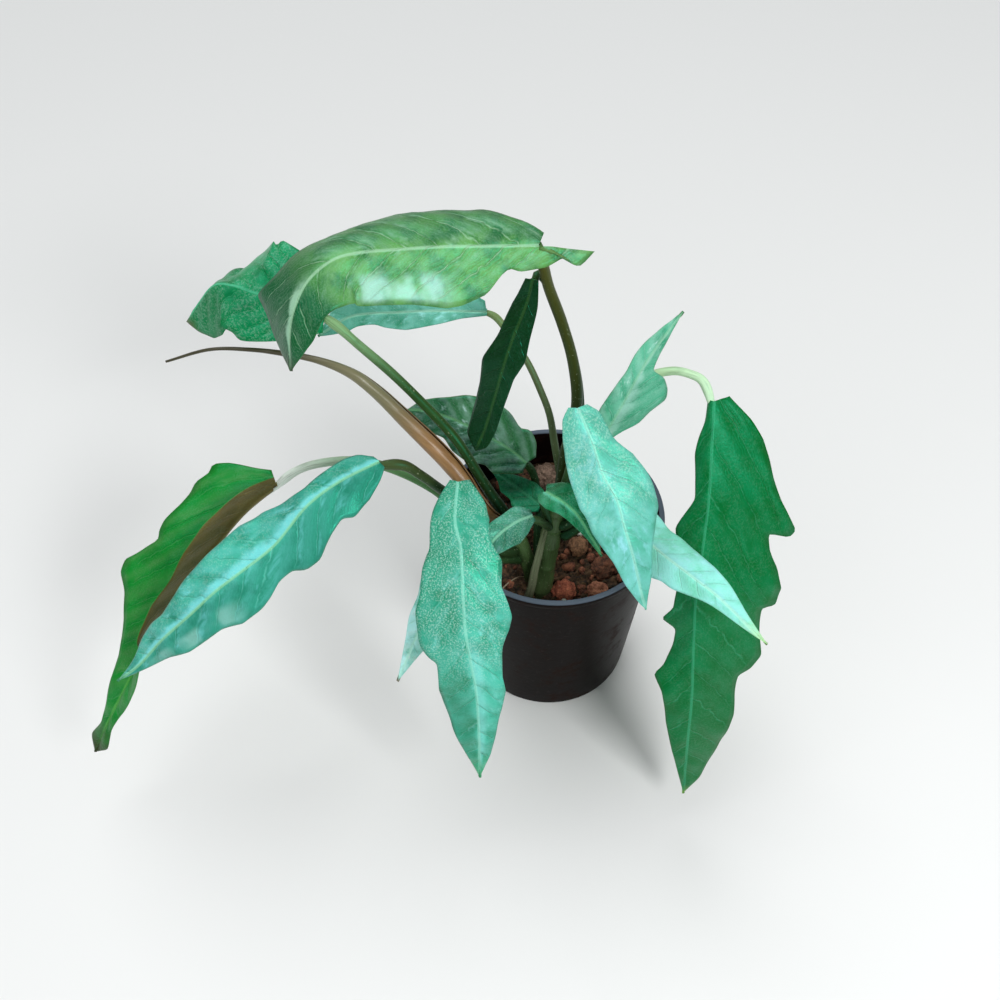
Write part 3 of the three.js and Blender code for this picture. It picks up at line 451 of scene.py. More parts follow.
# Each leaf's slot, its colours with that of its underside, the millimetres from one side vein to the
# next, how much it swells between them, and its marks
LEAF_LOOKS = {
    "top": {
        "slot": "leaf_light", "deep": (0, 78, 34), "middle": (100, 160, 80), "pale": (158, 204, 172),
        "midrib": (170, 214, 176), "vein": (160, 206, 164), "margin": (96, 140, 72), "tip": (54, 40, 20),
        "under": (104, 140, 78), "spacing": 17, "quilt": 0.6, "patches": 0.36, "patch_size": 30,
        "specks": 0.1, "band": 0.9, "band_side": -1, "vein_tone": 0.5, "tip_from": 0.93, "rough": 0.36,
        "shade_half": -1, "shade": 0.5, "tip_shade": 0.95, "strokes": 0.5, "shade_from": 0.6,
        "band_from": 0.68, "band_width": 0.5, "glare": 0.62, "glare_at": 0.42, "groove": 0.2,
    },
    "right_big": {
        "slot": "leaf_deep", "deep": (0, 88, 10), "middle": (2, 110, 52), "pale": (40, 150, 104),
        "midrib": (62, 165, 118), "vein": (70, 170, 125), "margin": (70, 140, 50), "tip": (120, 168, 60),
        "under": (148, 184, 126), "spacing": 21, "quilt": 0.9, "patches": 0.06, "patch_size": 26,
        "specks": 0.05, "tip_from": 0.97, "rough": 0.42, "shade_half": 1, "shade": 0.25,
        "tip_shade": 0.45, "strokes": 0.35, "groove": 0.3,
    },
    "front": {
        "slot": "leaf_teal", "deep": (24, 120, 84), "middle": (80, 196, 172), "pale": (140, 228, 222),
        "midrib": (152, 229, 206), "vein": (120, 212, 190), "margin": (70, 140, 104),
        "tip": (70, 164, 108), "under": (120, 180, 140), "spacing": 18, "quilt": 0.7, "patches": 0.35,
        "specks": 0.6, "band": 0.5, "band_side": 1, "vein_tone": 0.35, "tip_from": 0.86, "shade_half": -1,
        "shade": 0.45, "tip_shade": 0.2, "strokes": 0.4, "band_from": 0.42, "band_width": 1.3,
        "specks_to": 0.7, "base_shade": 0.6, "groove": 0.38,
    },
    "left_front": {
        "slot": "leaf_teal", "deep": (30, 118, 94), "middle": (68, 172, 150), "pale": (128, 223, 227),
        "midrib": (151, 215, 158), "vein": (110, 210, 190), "margin": (176, 150, 130),
        "tip": (60, 150, 110), "under": (96, 150, 110), "spacing": 17, "quilt": 0.6, "patches": 0.25,
        "patch_size": 22, "specks": 0.14, "speck_side": -1, "band": 0.75, "band_side": -1,
        "vein_tone": 0.4, "shade_half": 1, "shade": 0.4, "strokes": 0.5, "glare": 0.3, "glare_at": 0.7,
        "base_shade": 0.4, "groove": 0.25,
    },
    "left_big": {
        "slot": "leaf_deep", "deep": (6, 108, 20), "middle": (16, 128, 34), "pale": (120, 150, 100),
        "midrib": (98, 176, 78), "vein": (72, 167, 85), "margin": (110, 104, 52), "tip": (58, 46, 20),
        "under": (104, 84, 40), "spacing": 19, "quilt": 0.8, "patches": 0.15, "patch_size": 24,
        "specks": 0.05, "tip_from": 0.84, "rough": 0.32, "tip_shade": 0.1, "groove": 0.2,
    },
    "back_left": {
        "slot": "leaf_deep", "deep": (0, 104, 46), "middle": (0, 148, 82), "pale": (104, 212, 175),
        "midrib": (99, 214, 164), "vein": (70, 190, 135), "margin": (60, 130, 70), "tip": (96, 78, 40),
        "under": (96, 150, 96), "spacing": 14, "quilt": 0.6, "patches": 0.2, "patch_size": 18,
        "specks": 0.3, "vein_tone": 0.25, "tip_from": 0.92, "rough": 0.36, "shade_half": 1, "shade": 0.4,
        "tip_shade": 0.5,
    },
    "back_low": {
        "slot": "leaf_teal", "deep": (28, 138, 96), "middle": (110, 197, 175), "pale": (182, 255, 255),
        "midrib": (178, 233, 206), "vein": (140, 215, 190), "margin": (86, 140, 104),
        "tip": (60, 130, 90), "under": (110, 160, 120), "spacing": 13, "patches": 0.35, "patch_size": 16,
        "tip_shade": 0.1, "strokes": 0.2,
    },
    # Painted shade: the hanging leaf lies in the shadow under the top leaf, so its colours are dark.
    "hanging": {
        "slot": "leaf_shade", "deep": (9, 39, 6), "middle": (18, 49, 11), "pale": (26, 64, 27),
        "midrib": (57, 91, 40), "vein": (42, 78, 34), "margin": (40, 60, 30), "tip": (24, 44, 22),
        "under": (60, 88, 48), "spacing": 13, "patches": 0.15, "patch_size": 16, "specks": 0.02,
        "vein_tone": 0.25, "shade_half": 1, "shade": 0.3, "tip_shade": 0.2, "strokes": 0.1,
    },
    "spear_right": {
        "slot": "leaf_light", "deep": (35, 139, 99), "middle": (95, 185, 150), "pale": (212, 245, 240),
        "midrib": (146, 208, 171), "vein": (150, 215, 185), "margin": (168, 128, 112),
        "tip": (120, 176, 130), "under": (120, 168, 120), "spacing": 12, "patch_size": 14, "specks": 0.15,
        "band": 0.3, "band_side": -1, "vein_tone": 0.35, "shade_half": -1, "shade": 0.35,
    },
    "front_right": {
        "slot": "leaf_teal", "deep": (70, 160, 132), "middle": (116, 204, 190), "pale": (160, 229, 241),
        "midrib": (164, 229, 209), "vein": (130, 215, 200), "margin": (96, 160, 130),
        "tip": (120, 206, 176), "under": (120, 180, 146), "spacing": 16, "quilt": 0.5, "patches": 0.35,
        "specks": 0.5, "band": 0.15, "band_side": -1, "shade_half": 1, "shade": 0.35, "specks_to": 0.66,
        "base_shade": 0.55, "groove": 0.2,
    },
    "front_right_low": {
        "slot": "leaf_teal", "deep": (103, 192, 157), "middle": (144, 224, 212), "pale": (160, 225, 230),
        "midrib": (181, 236, 215), "vein": (170, 236, 220), "margin": (130, 180, 130),
        "tip": (186, 226, 160), "under": (130, 184, 150), "spacing": 14, "patches": 0.4, "specks": 0.15,
        "band": 0.4, "band_side": 1, "vein_tone": 0.35, "tip_from": 0.82, "strokes": 0.2, "groove": 0.2,
    },
    "behind_front": {
        "slot": "leaf_teal", "deep": (69, 174, 145), "middle": (194, 255, 255), "pale": (255, 255, 255),
        "midrib": (198, 255, 235), "vein": (190, 245, 230), "margin": (110, 160, 130),
        "tip": (150, 112, 96), "under": (120, 170, 140), "spacing": 12, "patch_size": 14,
        "tip_from": 0.93, "shade_half": 1, "shade": 0.3, "strokes": 0.2,
    },
    "small_front": {
        "slot": "leaf_teal", "deep": (24, 80, 58), "middle": (68, 146, 118), "pale": (140, 194, 197),
        "midrib": (158, 224, 191), "vein": (130, 200, 170), "margin": (70, 120, 90), "tip": (60, 120, 90),
        "under": (90, 140, 100), "spacing": 10, "patch_size": 12, "specks": 0.3, "shade_half": 1,
        "shade": 0.4, "strokes": 0.2,
    },
    "back_broad": {
        "slot": "leaf_teal", "deep": (2, 22, 12), "middle": (57, 116, 67), "pale": (219, 255, 255),
        "midrib": (115, 171, 118), "vein": (80, 140, 100), "margin": (150, 160, 70), "tip": (30, 66, 36),
        "under": (70, 110, 70), "spacing": 12, "patch_size": 14, "specks": 0.1, "shade_half": 1,
        "shade": 0.4, "tip_shade": 0.3,
    },
    "small_middle": {
        "slot": "leaf_deep", "deep": (2, 81, 27), "middle": (30, 146, 92), "pale": (130, 255, 218),
        "midrib": (142, 225, 162), "vein": (90, 180, 130), "margin": (90, 150, 100), "tip": (60, 130, 90),
        "under": (90, 140, 96), "spacing": 10, "patches": 0.2, "patch_size": 12, "band": 0.6,
        "band_side": -1, "shade_half": 1, "shade": 0.6, "tip_shade": 0.2, "strokes": 0.2,
    },
    # Painted shade: this small leaf lies in shadow behind the stalks, so its colours are dark.
    "small_back": {
        "slot": "leaf_shade", "deep": (19, 71, 34), "middle": (21, 119, 73), "pale": (40, 122, 109),
        "midrib": (65, 147, 104), "vein": (17, 75, 44), "margin": (40, 80, 56), "tip": (26, 60, 40),
        "under": (50, 90, 60), "spacing": 10, "quilt": 0.3, "patches": 0.2, "patch_size": 12,
        "specks": 0.1, "vein_tone": 0.25, "tip_shade": 0.3, "strokes": 0.1,
    },
}

# Each stalk's slot and its colour at the stem, halfway and at the blade
STALK_LOOKS = {
    "top": ("stalk_olive", (38, 35, 6), (62, 60, 15), (81, 74, 15)),
    "right_big": ("stalk_pale", (70, 96, 59), (165, 196, 147), (213, 247, 211)),
    "front": ("stalk_green", (36, 52, 26), (64, 84, 48), (120, 160, 110)),
    "left_front": ("stalk_green", (29, 34, 13), (44, 52, 20), (80, 85, 45)),
    # Painted highlight: the left_big stalk turns near white towards the blade.
    "left_big": ("stalk_pale", (30, 48, 18), (104, 142, 90), (250, 255, 250)),
    "back_left": ("stalk_green", (21, 30, 8), (48, 74, 26), (150, 192, 136)),
    "back_low": ("stalk_green", (46, 58, 32), (97, 106, 72), (137, 158, 103)),
    "hanging": ("stalk_green", (30, 46, 24), (46, 66, 36), (60, 84, 44)),
    "spear_right": ("stalk_green", (36, 54, 28), (60, 92, 50), (120, 160, 100)),
    "front_right": ("stalk_green", (40, 58, 30), (74, 104, 58), (128, 172, 112)),
    "front_right_low": ("stalk_green", (36, 54, 28), (70, 100, 60), (120, 170, 120)),
    "behind_front": ("stalk_green", (36, 54, 28), (64, 92, 52), (110, 150, 104)),
    "small_front": ("stalk_green", (40, 58, 32), (62, 86, 50), (96, 136, 92)),
    "back_broad": ("stalk_green", (26, 40, 20), (44, 64, 34), (70, 96, 54)),
    "small_middle": ("stalk_green", (44, 62, 34), (70, 98, 54), (110, 150, 90)),
    "small_back": ("stalk_green", (26, 40, 20), (40, 60, 32), (60, 84, 48)),
}

CLOD_COLOURS = {
    "clod_back": ((74, 60, 48), (142, 116, 100)),
    "clod_middle": ((94, 68, 48), (160, 116, 84)),
    "clod_front": ((108, 52, 36), (190, 110, 82)),
    "clod_front_right": ((116, 68, 50), (196, 134, 104)),
}
CLOD_COLOUR = ((60, 38, 26), (128, 80, 58))

# White grains on the soil: place and size
PERLITE = [
    ((-24, -11), 1.5), ((-14, -27), 1.2), ((-8, -21), 1), ((-20, -44), 1.6), ((5, -46), 1.3), ((16, 1), 1.7),
    ((-36, 12), 1.2), ((36, 14), 1.1), ((20, 34), 1.4), ((-18, 42), 1), ((44, -18), 1.2), ((-44, -22), 1.1),
]
ROOTLETS = [
    [(-34, -46, 114), (-29, -39, 117), (-22, -32, 116), (-17, -29, 113)],
    [(-12, 36, 113), (-6, 42, 116), (4, 47, 117), (10, 50, 113)],
    [(26, -6, 113), (32, 2, 116), (37, 6, 116), (42, 4, 113)],
]


# Numbers along a length

def ramp(steps, at):
    """Value at each place along steps of (place, value), straight in between, or the one value given."""
    if isinstance(steps, (int, float)):
        return np.full(np.shape(at), float(steps))
    return np.interp(at, [place for place, _ in steps], [value for _, value in steps])


def smooth(value, low, high):
    """0 below low, 1 above high and an even curve between."""
    share = np.clip((value - low) / (high - low), 0, 1)
    return share * share * (3 - 2 * share)


def hill(place, centre, width):
    """1 at the centre and an even fall to 0 round it."""
    return np.exp(-(((place - centre) / width) ** 2))


def unit(vectors):
    return vectors / np.linalg.norm(vectors, axis=-1, keepdims=True)


class Path:
    """A smooth line through points, measured along its length in millimetres."""

    SPAN_DOTS = 40
    NEAR = 0.003

    def __init__(self, points):
        knots = np.array(points, float)
        chain = np.vstack([2 * knots[0] - knots[1], knots, 2 * knots[-1] - knots[-2]])
        t = np.linspace(0, 1, self.SPAN_DOTS, endpoint=False)[:, None]
        spans = []
        for before, start, end, after in zip(chain, chain[1:], chain[2:], chain[3:]):
            leave = (end - before) / 2
            arrive = (after - start) / 2
            spans.append(
                start + leave * t + (3 * (end - start) - 2 * leave - arrive) * t**2
                + (2 * (start - end) + leave + arrive) * t**3
            )
        self.dots = np.vstack([*spans, knots[-1:]])
        self.marks = np.concatenate([[0], np.cumsum(np.linalg.norm(np.diff(self.dots, axis=0), axis=1))])
        self.length = float(self.marks[-1])

    def point(self, share):
        marks = np.clip(share, 0, 1) * self.length
        return np.stack([np.interp(marks, self.marks, self.dots[:, k]) for k in range(3)], axis=-1)

    def along(self, share):
        return unit(self.point(np.asarray(share) + self.NEAR) - self.point(np.asarray(share) - self.NEAR))


# Leaf surface

def leaf_frame(leaf, path, share):
    """Place on the midrib, the ways along, up and left there, and the share itself, kept within 0 to 1."""
    share = np.clip(share, 0, 1)
    along = path.along(share)
    face = unit(np.stack([ramp([(at, v[k]) for at, v in leaf["face"]], share) for k in range(3)], axis=-1))
    up = unit(face - along * np.sum(face * along, axis=-1, keepdims=True))
    return path.point(share), along, up, np.cross(up, along), share


def leaf_places(leaf, path, a, c, lift):
    """Places on a leaf: a along the midrib, c out from it (left is positive), lift above its middle."""
    origin, along, up, left, share = leaf_frame(leaf, path, a / path.length)
    on_left = c >= 0
    reach = np.abs(c)

    def by_half(turns):
        return np.radians(np.where(on_left, ramp(turns["left"], share), ramp(turns["right"], share)))

    fold = by_half(leaf["fold"])
    bend = by_half(leaf.get("curl", NO_CURL)) / CURL_SPAN
    straight = np.abs(bend) < 1e-7
    safe = np.where(straight, 1, bend)
    turn = fold + bend * reach
    out = np.where(straight, reach * np.cos(fold), (np.sin(turn) - np.sin(fold)) / safe)
    rise = np.where(straight, reach * np.sin(fold), (np.cos(fold) - np.cos(turn)) / safe)
    lean = turn * (1 - hill(reach, 0, RIB_WIDTH))
    out = out - np.sin(lean) * lift
    rise = rise + np.cos(lean) * lift
    side = np.where(on_left, 1, -1)
    return (
        origin + along * (a - share * path.length)[..., None]
        + left * (side * out)[..., None] + up * rise[..., None]
    )


def edge_line(leaf, side, length):
    """One half's edge as three rows: start of each vein on the midrib, a and c, with its corners eased."""
    corners = np.array([*leaf[side], (length, 0)], float)
    marks = np.concatenate([[0], np.cumsum(np.linalg.norm(np.diff(corners, axis=0), axis=1))])
    fine = np.arange(0, marks[-1], EDGE_STEP)
    a, c = (np.interp(fine, marks, corners[:, k]) for k in range(2))
    reach = int(4 * EDGE_SOFTENING / EDGE_STEP)
    weights = np.exp(-((np.arange(-reach, reach + 1) * EDGE_STEP / EDGE_SOFTENING) ** 2) / 2)
    weights /= weights.sum()
    eased = []
    for row in (a, c):
        ends = (2 * row[0] - row[reach:0:-1], row, 2 * row[-1] - row[-2:-reach - 2:-1])
        eased.append(np.convolve(np.concatenate(ends), weights, mode="valid"))
    a, c = eased
    starts = np.maximum.accumulate(a - VEIN_SLANT * c)
    return starts, a, np.maximum(c, 0)


def row_starts(edges, length, count_step):
    """Starts of the rows on the midrib, closer together where an edge runs along its vein."""
    low = min(edge[0][0] for edge in edges)
    fine = np.linspace(low, length, ROW_SEARCH_STEPS)
    steps = np.diff(fine)
    for starts, a, c in edges:
        spread = np.hypot(np.diff(np.interp(fine, starts, a)), np.diff(np.interp(fine, starts, c)))
        steps = np.maximum(steps, 0.6 * spread)
    marks = np.concatenate([[0], np.cumsum(steps)])
    rows = max(FEWEST_ROWS, int(marks[-1] / count_step))
    return np.interp(np.linspace(0, marks[-1], rows + 1), marks, fine)


# Mesh pieces

def name_piece(piece, name):
    piece.name = name
    piece.data.name = name
    return piece


def bare_piece(name):
    """The primitive just added, named and without its UV map, and its vertices' places."""
    piece = name_piece(bpy.context.active_object, name)
    while piece.data.uv_layers:
        piece.data.uv_layers.remove(piece.data.uv_layers[0])
    places = np.empty(len(piece.data.vertices) * 3)
    piece.data.vertices.foreach_get("co", places)
    return piece, places.reshape(-1, 3)


def grid_piece(name, rows, columns):
    """A flat grid with its vertices' shares along (0 to 1) and across (0 to 1)."""
    bpy.ops.object.select_all(action="DESELECT")
    bpy.ops.mesh.primitive_grid_add(x_subdivisions=rows, y_subdivisions=columns, size=1, location=(0, 0, 0))
    piece, places = bare_piece(name)
    return piece, places[:, 0] + 0.5, places[:, 1] + 0.5


def set_places(piece, places):
    piece.data.vertices.foreach_set("co", (np.asarray(places) * MM).ravel())
    piece.data.update()


def add_map(piece, name, first, second):
    """A UV map with the same two numbers at every corner of a vertex."""
    layer = piece.data.uv_layers.new(name=name)
    corners = np.empty(len(piece.data.loops), int)
    piece.data.loops.foreach_get("vertex_index", corners)
    pairs = np.stack([np.asarray(first, float), np.asarray(second, float)], axis=-1)[corners]
    layer.data.foreach_set("uv", pairs.ravel())


def pick(*pieces):
    """Selects these pieces alone and makes the first one active."""
    bpy.ops.object.select_all(action="DESELECT")
    for piece in pieces:
        piece.select_set(True)
    bpy.context.view_layer.objects.active = pieces[0]


def edit_all(piece, *steps):
    """Runs edit mode operators on everything in a piece."""
    pick(piece)
    bpy.ops.object.mode_set(mode="EDIT")
    for step in steps:
        bpy.ops.mesh.select_all(action="SELECT")
        step()
    bpy.ops.object.mode_set(mode="OBJECT")


def merge_doubles():
    bpy.ops.mesh.remove_doubles(threshold=MERGE_DISTANCE * MM)


def face_outward():
    bpy.ops.mesh.normals_make_consistent(inside=False)


def apply_modifier(piece, modifier):
    pick(piece)
    bpy.ops.object.modifier_apply(modifier=modifier.name)


def give_wall(piece, millimetres, shares, offset):
    """Thickens a sheet to shares of a thickness, one share for each vertex."""
    group = piece.vertex_groups.new(name="thickness")
    for index, share in enumerate(shares):
        group.add([index], float(share), "REPLACE")
    edit_all(piece, merge_doubles)
    wall = piece.modifiers.new("thickness", "SOLIDIFY")
    wall.thickness = millimetres * MM
    wall.offset = offset
    wall.vertex_group = group.name
    if len(piece.data.materials) > 1:
        wall.material_offset = 1
        wall.material_offset_rim = 0
    apply_modifier(piece, wall)
    piece.vertex_groups.clear()


def join(pieces, name):
    pick(*pieces)
    bpy.ops.object.join()
    return name_piece(bpy.context.active_object, name)


def finish_piece(piece, replaced=None):
    """Turns a piece's faces outward, smooths them and says what the piece belongs to."""
    edit_all(piece, face_outward)
    pick(piece)
    bpy.ops.object.shade_smooth()
    settle_piece(piece, replaced)


def settle_piece(piece, replaced=None):
    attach(piece, ROOT)
    if replaced:
        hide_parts(replaced)


def swept_piece(name, path, radius, rows, columns):
    """A body with closed ends along a path: radius(mm along, turn 0 to 1) gives its size there."""
    piece, u, v = grid_piece(name, rows, columns)
    shares = np.linspace(0, 1, rows + 1)
    along = path.along(shares)
    sides = np.empty_like(along)
    side = np.cross(along[0], (0, 0, 1) if abs(along[0][2]) < 0.9 else (1, 0, 0))
    for i, forward in enumerate(along):
        side = side - forward * np.dot(side, forward)
        side = side / np.linalg.norm(side)
        sides[i] = side
    row = np.rint(u * rows).astype(int)
    turn = 2 * np.pi * v
    across = np.cross(along, sides)
    size = radius(shares[row] * path.length, v)
    from_end = np.minimum(shares[row], 1 - shares[row]) * path.length
    rounding = 1 - np.minimum(from_end / np.maximum(size, 1e-6), 1)
    size = size * np.sqrt(np.clip(1 - rounding**2, 0, 1))
    places = path.point(shares)[row] + (
        sides[row] * np.cos(turn)[:, None] + across[row] * np.sin(turn)[:, None]
    ) * size[:, None]
    set_places(piece, places)
    add_map(piece, "flat", shares[row] * path.length / 100, v)
    add_map(piece, "share", shares[row], v)
    edit_all(piece, merge_doubles)
    return piece


# Shader nodes

def srgb(colour):
    """A paint chart colour as a linear one."""
    linear = []
    for value in colour:
        value /= 255
        linear.append(value / 12.92 if value <= 0.04045 else ((value + 0.055) / 1.055) ** 2.4)
    return (*linear, 1)


class Graph:
    """Adds nodes to a shader tree; each input is a socket to link or a value to set."""

    def __init__(self, tree):
        self.tree = tree

    def put(self, socket, value):
        if isinstance(value, bpy.types.NodeSocket):
            self.tree.links.new(value, socket)
        else:
            socket.default_value = value

    def node(self, kind, **inputs):
        made = self.tree.nodes.new(kind)
        for name, value in inputs.items():
            self.put(made.inputs[name.replace("_", " ")], value)
        return made

    def math(self, operation, *values):
        made = self.tree.nodes.new("ShaderNodeMath")
        made.operation = operation
        for socket, value in zip(made.inputs, values):
            self.put(socket, value)
        return made.outputs[0]

    def plus(self, first, second):
        return self.math("ADD", first, second)

    def less(self, first, second):
        return self.math("SUBTRACT", first, second)

    def rest(self, share):
        return self.math("SUBTRACT", 1, share)

    def times(self, *values):
        result = values[0]
        for value in values[1:]:
            result = self.math("MULTIPLY", result, value)
        return result

    def step(self, value, low, high):
        made = self.tree.nodes.new("ShaderNodeMapRange")
        made.interpolation_type = "SMOOTHSTEP"
        self.put(made.inputs["Value"], value)
        self.put(made.inputs["From Min"], low)
        self.put(made.inputs["From Max"], high)
        return made.outputs["Result"]

    def mix(self, share, first, second):
        made = self.tree.nodes.new("ShaderNodeMix")
        made.data_type = "RGBA"
        self.put(made.inputs[0], share)
        self.put(made.inputs[6], first)
        self.put(made.inputs[7], second)
        return made.outputs[2]

    def noise(self, place, scale, detail=2.0, rough=0.5):
        made = self.node("ShaderNodeTexNoise", Vector=place, Scale=scale, Detail=detail, Roughness=rough)
        return made.outputs[0]

    def parts(self, place):
        return self.node("ShaderNodeSeparateXYZ", Vector=place).outputs[:]

    def flat_map(self, name):
        made = self.tree.nodes.new("ShaderNodeUVMap")
        made.uv_map = name
        return self.parts(made.outputs[0])[:2]

    def place(self, *parts):
        made = self.tree.nodes.new("ShaderNodeCombineXYZ")
        for socket, value in zip(made.inputs, parts):
            self.put(socket, value)
        return made.outputs[0]

    def body_place(self):
        return self.tree.nodes.new("ShaderNodeTexCoord").outputs["Object"]


def new_group(name, inputs, outputs):
    """A shader group with named inputs, (name, kind, value), and outputs, (name, kind)."""
    tree = bpy.data.node_groups.new(name, "ShaderNodeTree")
    for title, kind, value in inputs:
        socket = tree.interface.new_socket(name=title, in_out="INPUT", socket_type=kind)
        socket.default_value = value
    for title, kind in outputs:
        tree.interface.new_socket(name=title, in_out="OUTPUT", socket_type=kind)
    entry = tree.nodes.new("NodeGroupInput")
    leave = tree.nodes.new("NodeGroupOutput")
    return tree, Graph(tree), entry.outputs, leave.inputs


COLOUR = "NodeSocketColor"
NUMBER = "NodeSocketFloat"
SURFACE = [("Colour", COLOUR), ("Roughness", NUMBER), ("Height", NUMBER)]
GREY = (0.5, 0.5, 0.5, 1)

# Colours that no piece's own row gives
GLARE = (196, 242, 236)
SPECK = (200, 238, 222)
STALK_FLECK = (196, 208, 170)
GROUND_BIT = (150, 132, 112)
CLAY_DUST = (110, 62, 44)
SCUFF = (110, 104, 100)
RIM_HIGHLIGHT = (112, 126, 142)

# Heights in metres between which the top of the pot's rim turns pale: a painted highlight
RIM_EDGE_LOW = 0.1348
RIM_EDGE_HIGH = 0.1358


def label(key):
    """A group input's name, from the key that gives its value."""
    return key.replace("_", " ").title()


def colour_inputs(*names):
    return [(name, COLOUR, GREY) for name in names]


def leaf_group():
    """Colour and relief of a marbled leaf face, read from the leaf's own flat maps."""
    marks = [(label(key), NUMBER, value) for key, value in LEAF_MARKS.items()]
    tree, g, given, result = new_group(
        "Marbled leaf", colour_inputs(*map(label, LEAF_COLOURS)) + marks, SURFACE
    )
    a, c = g.flat_map("flat")
    vein_count, half_share = g.flat_map("vein")
    edge, length_share = g.flat_map("edge")
    across = g.math("ABSOLUTE", half_share)
    shift = g.times(given["Seed"], 3.7)
    spot = g.place(g.plus(a, shift), c, shift)
    wander = g.less(g.noise(spot, 14, 2), 0.5)

    # side veins, the fine veins between them, and the ground colour, paled between veins with painted sheen
    vein_place = g.plus(vein_count, g.times(wander, 0.3))
    vein_gap = g.math("PINGPONG", vein_place, 0.5)
    fine_gap = g.math("PINGPONG", g.plus(g.times(vein_place, 7), g.times(wander, 2)), 0.5)
    inner = g.rest(g.step(across, 0.72, 1))
    vein_line = g.times(g.rest(g.step(vein_gap, 0.005, 0.045)), inner)
    fine_line = g.times(g.rest(g.step(fine_gap, 0.05, 0.3)), inner)
    colour = g.mix(g.times(g.step(g.noise(spot, 7, 4, 0.6), 0.4, 0.68), 0.8), given["Middle"], given["Deep"])
    colour = g.mix(g.times(g.step(vein_gap, 0.08, 0.5), g.noise(spot, 22, 3), 0.3), colour, given["Pale"])

    # pale patches
    streaks = g.noise(g.place(g.times(vein_place, 1.3), g.times(across, 1.6), shift), 1.7, 3, 0.6)
    blots = g.noise(spot, g.math("DIVIDE", 130, given["Patch Size"]), 4, 0.65)
    marbling = g.plus(g.times(streaks, 0.5), g.times(blots, 0.5))
    start = g.less(0.68, g.times(given["Patches"], 0.4))
    patch = g.step(marbling, start, g.plus(start, 0.13))
    colour = g.mix(g.times(patch, 0.7), colour, given["Pale"])

    # the darker half, the darker end and the darker base
    dark_half = g.step(g.times(half_share, given["Shade Half"]), -0.04, 0.3)
    colour = g.mix(g.times(dark_half, given["Shade"]), colour, given["Deep"])
    far = g.step(length_share, given["Shade From"], g.plus(given["Shade From"], 0.2))
    far = g.times(far, given["Tip Shade"])
    colour = g.mix(far, colour, given["Deep"])
    near = g.step(g.plus(length_share, g.times(wander, 0.2)), 0.5, 0.08)
    colour = g.mix(g.times(near, given["Base Shade"]), colour, given["Deep"])

    # the pale band beside the midrib: partly the leaf's own colour and partly painted sheen; on the top
    # leaf's bent end it is painted glare
    from_rib = g.math("DIVIDE", g.plus(across, g.times(wander, 0.35)), given["Band Width"])
    near_rib = g.rest(g.step(from_rib, 0.12, 0.38))
    band_half = g.step(g.times(half_share, given["Band Side"]), -0.02, 0.02)
    band_start = g.step(length_share, given["Band From"], g.plus(given["Band From"], 0.08))
    colour = g.mix(g.times(near_rib, band_half, band_start, given["Band"]), colour, given["Pale"])

    # a painted highlight: a pale patch of glare on one half of the leaf
    away = g.math("ABSOLUTE", g.less(length_share, given["Glare At"]))
    painted_glare = g.times(g.step(away, 0.2, 0.1), g.step(half_share, 0.35, 0.6), g.step(half_share, 1, 0.85))
    painted_glare = g.times(painted_glare, g.step(g.noise(g.place(a, g.times(c, 0.6), shift), 6.5, 2), 0.42, 0.6))
    colour = g.mix(g.times(painted_glare, given["Glare"]), colour, srgb(GLARE))

    # vein lines, and painted shade in a narrow hollow beside each
    colour = g.mix(g.times(fine_line, given["Vein Tone"], 0.12), colour, given["Vein"])
    beside = g.less(g.math("FRACT", g.plus(vein_place, 0.5)), 0.5)
    groove = g.times(g.step(beside, -0.16, -0.01), g.step(beside, 0.02, -0.01), inner)
    colour = g.mix(g.times(groove, given["Groove"]), colour, given["Deep"])
    broken = g.step(g.noise(spot, 18, 2), 0.3, 0.6)
    colour = g.mix(g.times(vein_line, given["Vein Tone"], broken), colour, given["Vein"])

    # painted sheen: pale streaks along the veins
    stroke_gap = g.math("PINGPONG", g.plus(vein_place, 0.16), 0.5)
    sheen_stroke = g.rest(g.step(stroke_gap, 0.0, 0.3))
    stroke_place = g.place(g.times(vein_place, 0.9), g.times(half_share, 1.4), g.plus(shift, 5))
    sheen_stroke = g.times(sheen_stroke, g.step(g.noise(stroke_place, 1.9, 3, 0.6), 0.45, 0.75), inner)
    sheen_stroke = g.times(sheen_stroke, g.rest(g.times(far, 0.7)))
    colour = g.mix(g.times(sheen_stroke, given["Strokes"]), colour, given["Pale"])

    # frosty specks
    speck_half = g.step(g.times(half_share, given["Speck Side"]), -0.25, 0.15)
    specks = g.times(g.step(g.noise(spot, 105, 4, 0.75), 0.48, 0.6), g.step(g.noise(spot, 11, 2), 0.3, 0.5))
    speck_end = g.step(length_share, given["Specks To"], g.less(given["Specks To"], 0.3))
    colour = g.mix(g.times(specks, speck_half, speck_end, given["Specks"]), colour, srgb(SPECK))

    # midrib, edge and tip
    rib = g.rest(g.step(g.math("ABSOLUTE", c), 0.003, 0.011))
    colour = g.mix(g.times(rib, 0.62), colour, given["Midrib"])
    rim = g.rest(g.step(edge, 0.01, 0.09))
    colour = g.mix(g.times(rim, 0.14), colour, given["Margin"])
    tip = g.step(g.plus(length_share, g.times(wander, 0.06)), given["Tip From"], 1.02)
    colour = g.mix(tip, colour, given["Tip"])
    g.put(result["Colour"], colour)
    rough = g.plus(given["Rough"], g.times(g.less(g.noise(spot, 40, 3), 0.5), 0.25))
    g.put(result["Roughness"], g.plus(rough, g.times(specks, 0.05)))
    dips = g.plus(g.times(vein_line, -0.35), g.times(fine_line, -0.08))
    g.put(result["Height"], g.plus(dips, g.times(g.noise(spot, 90, 3), 0.3)))
    return tree


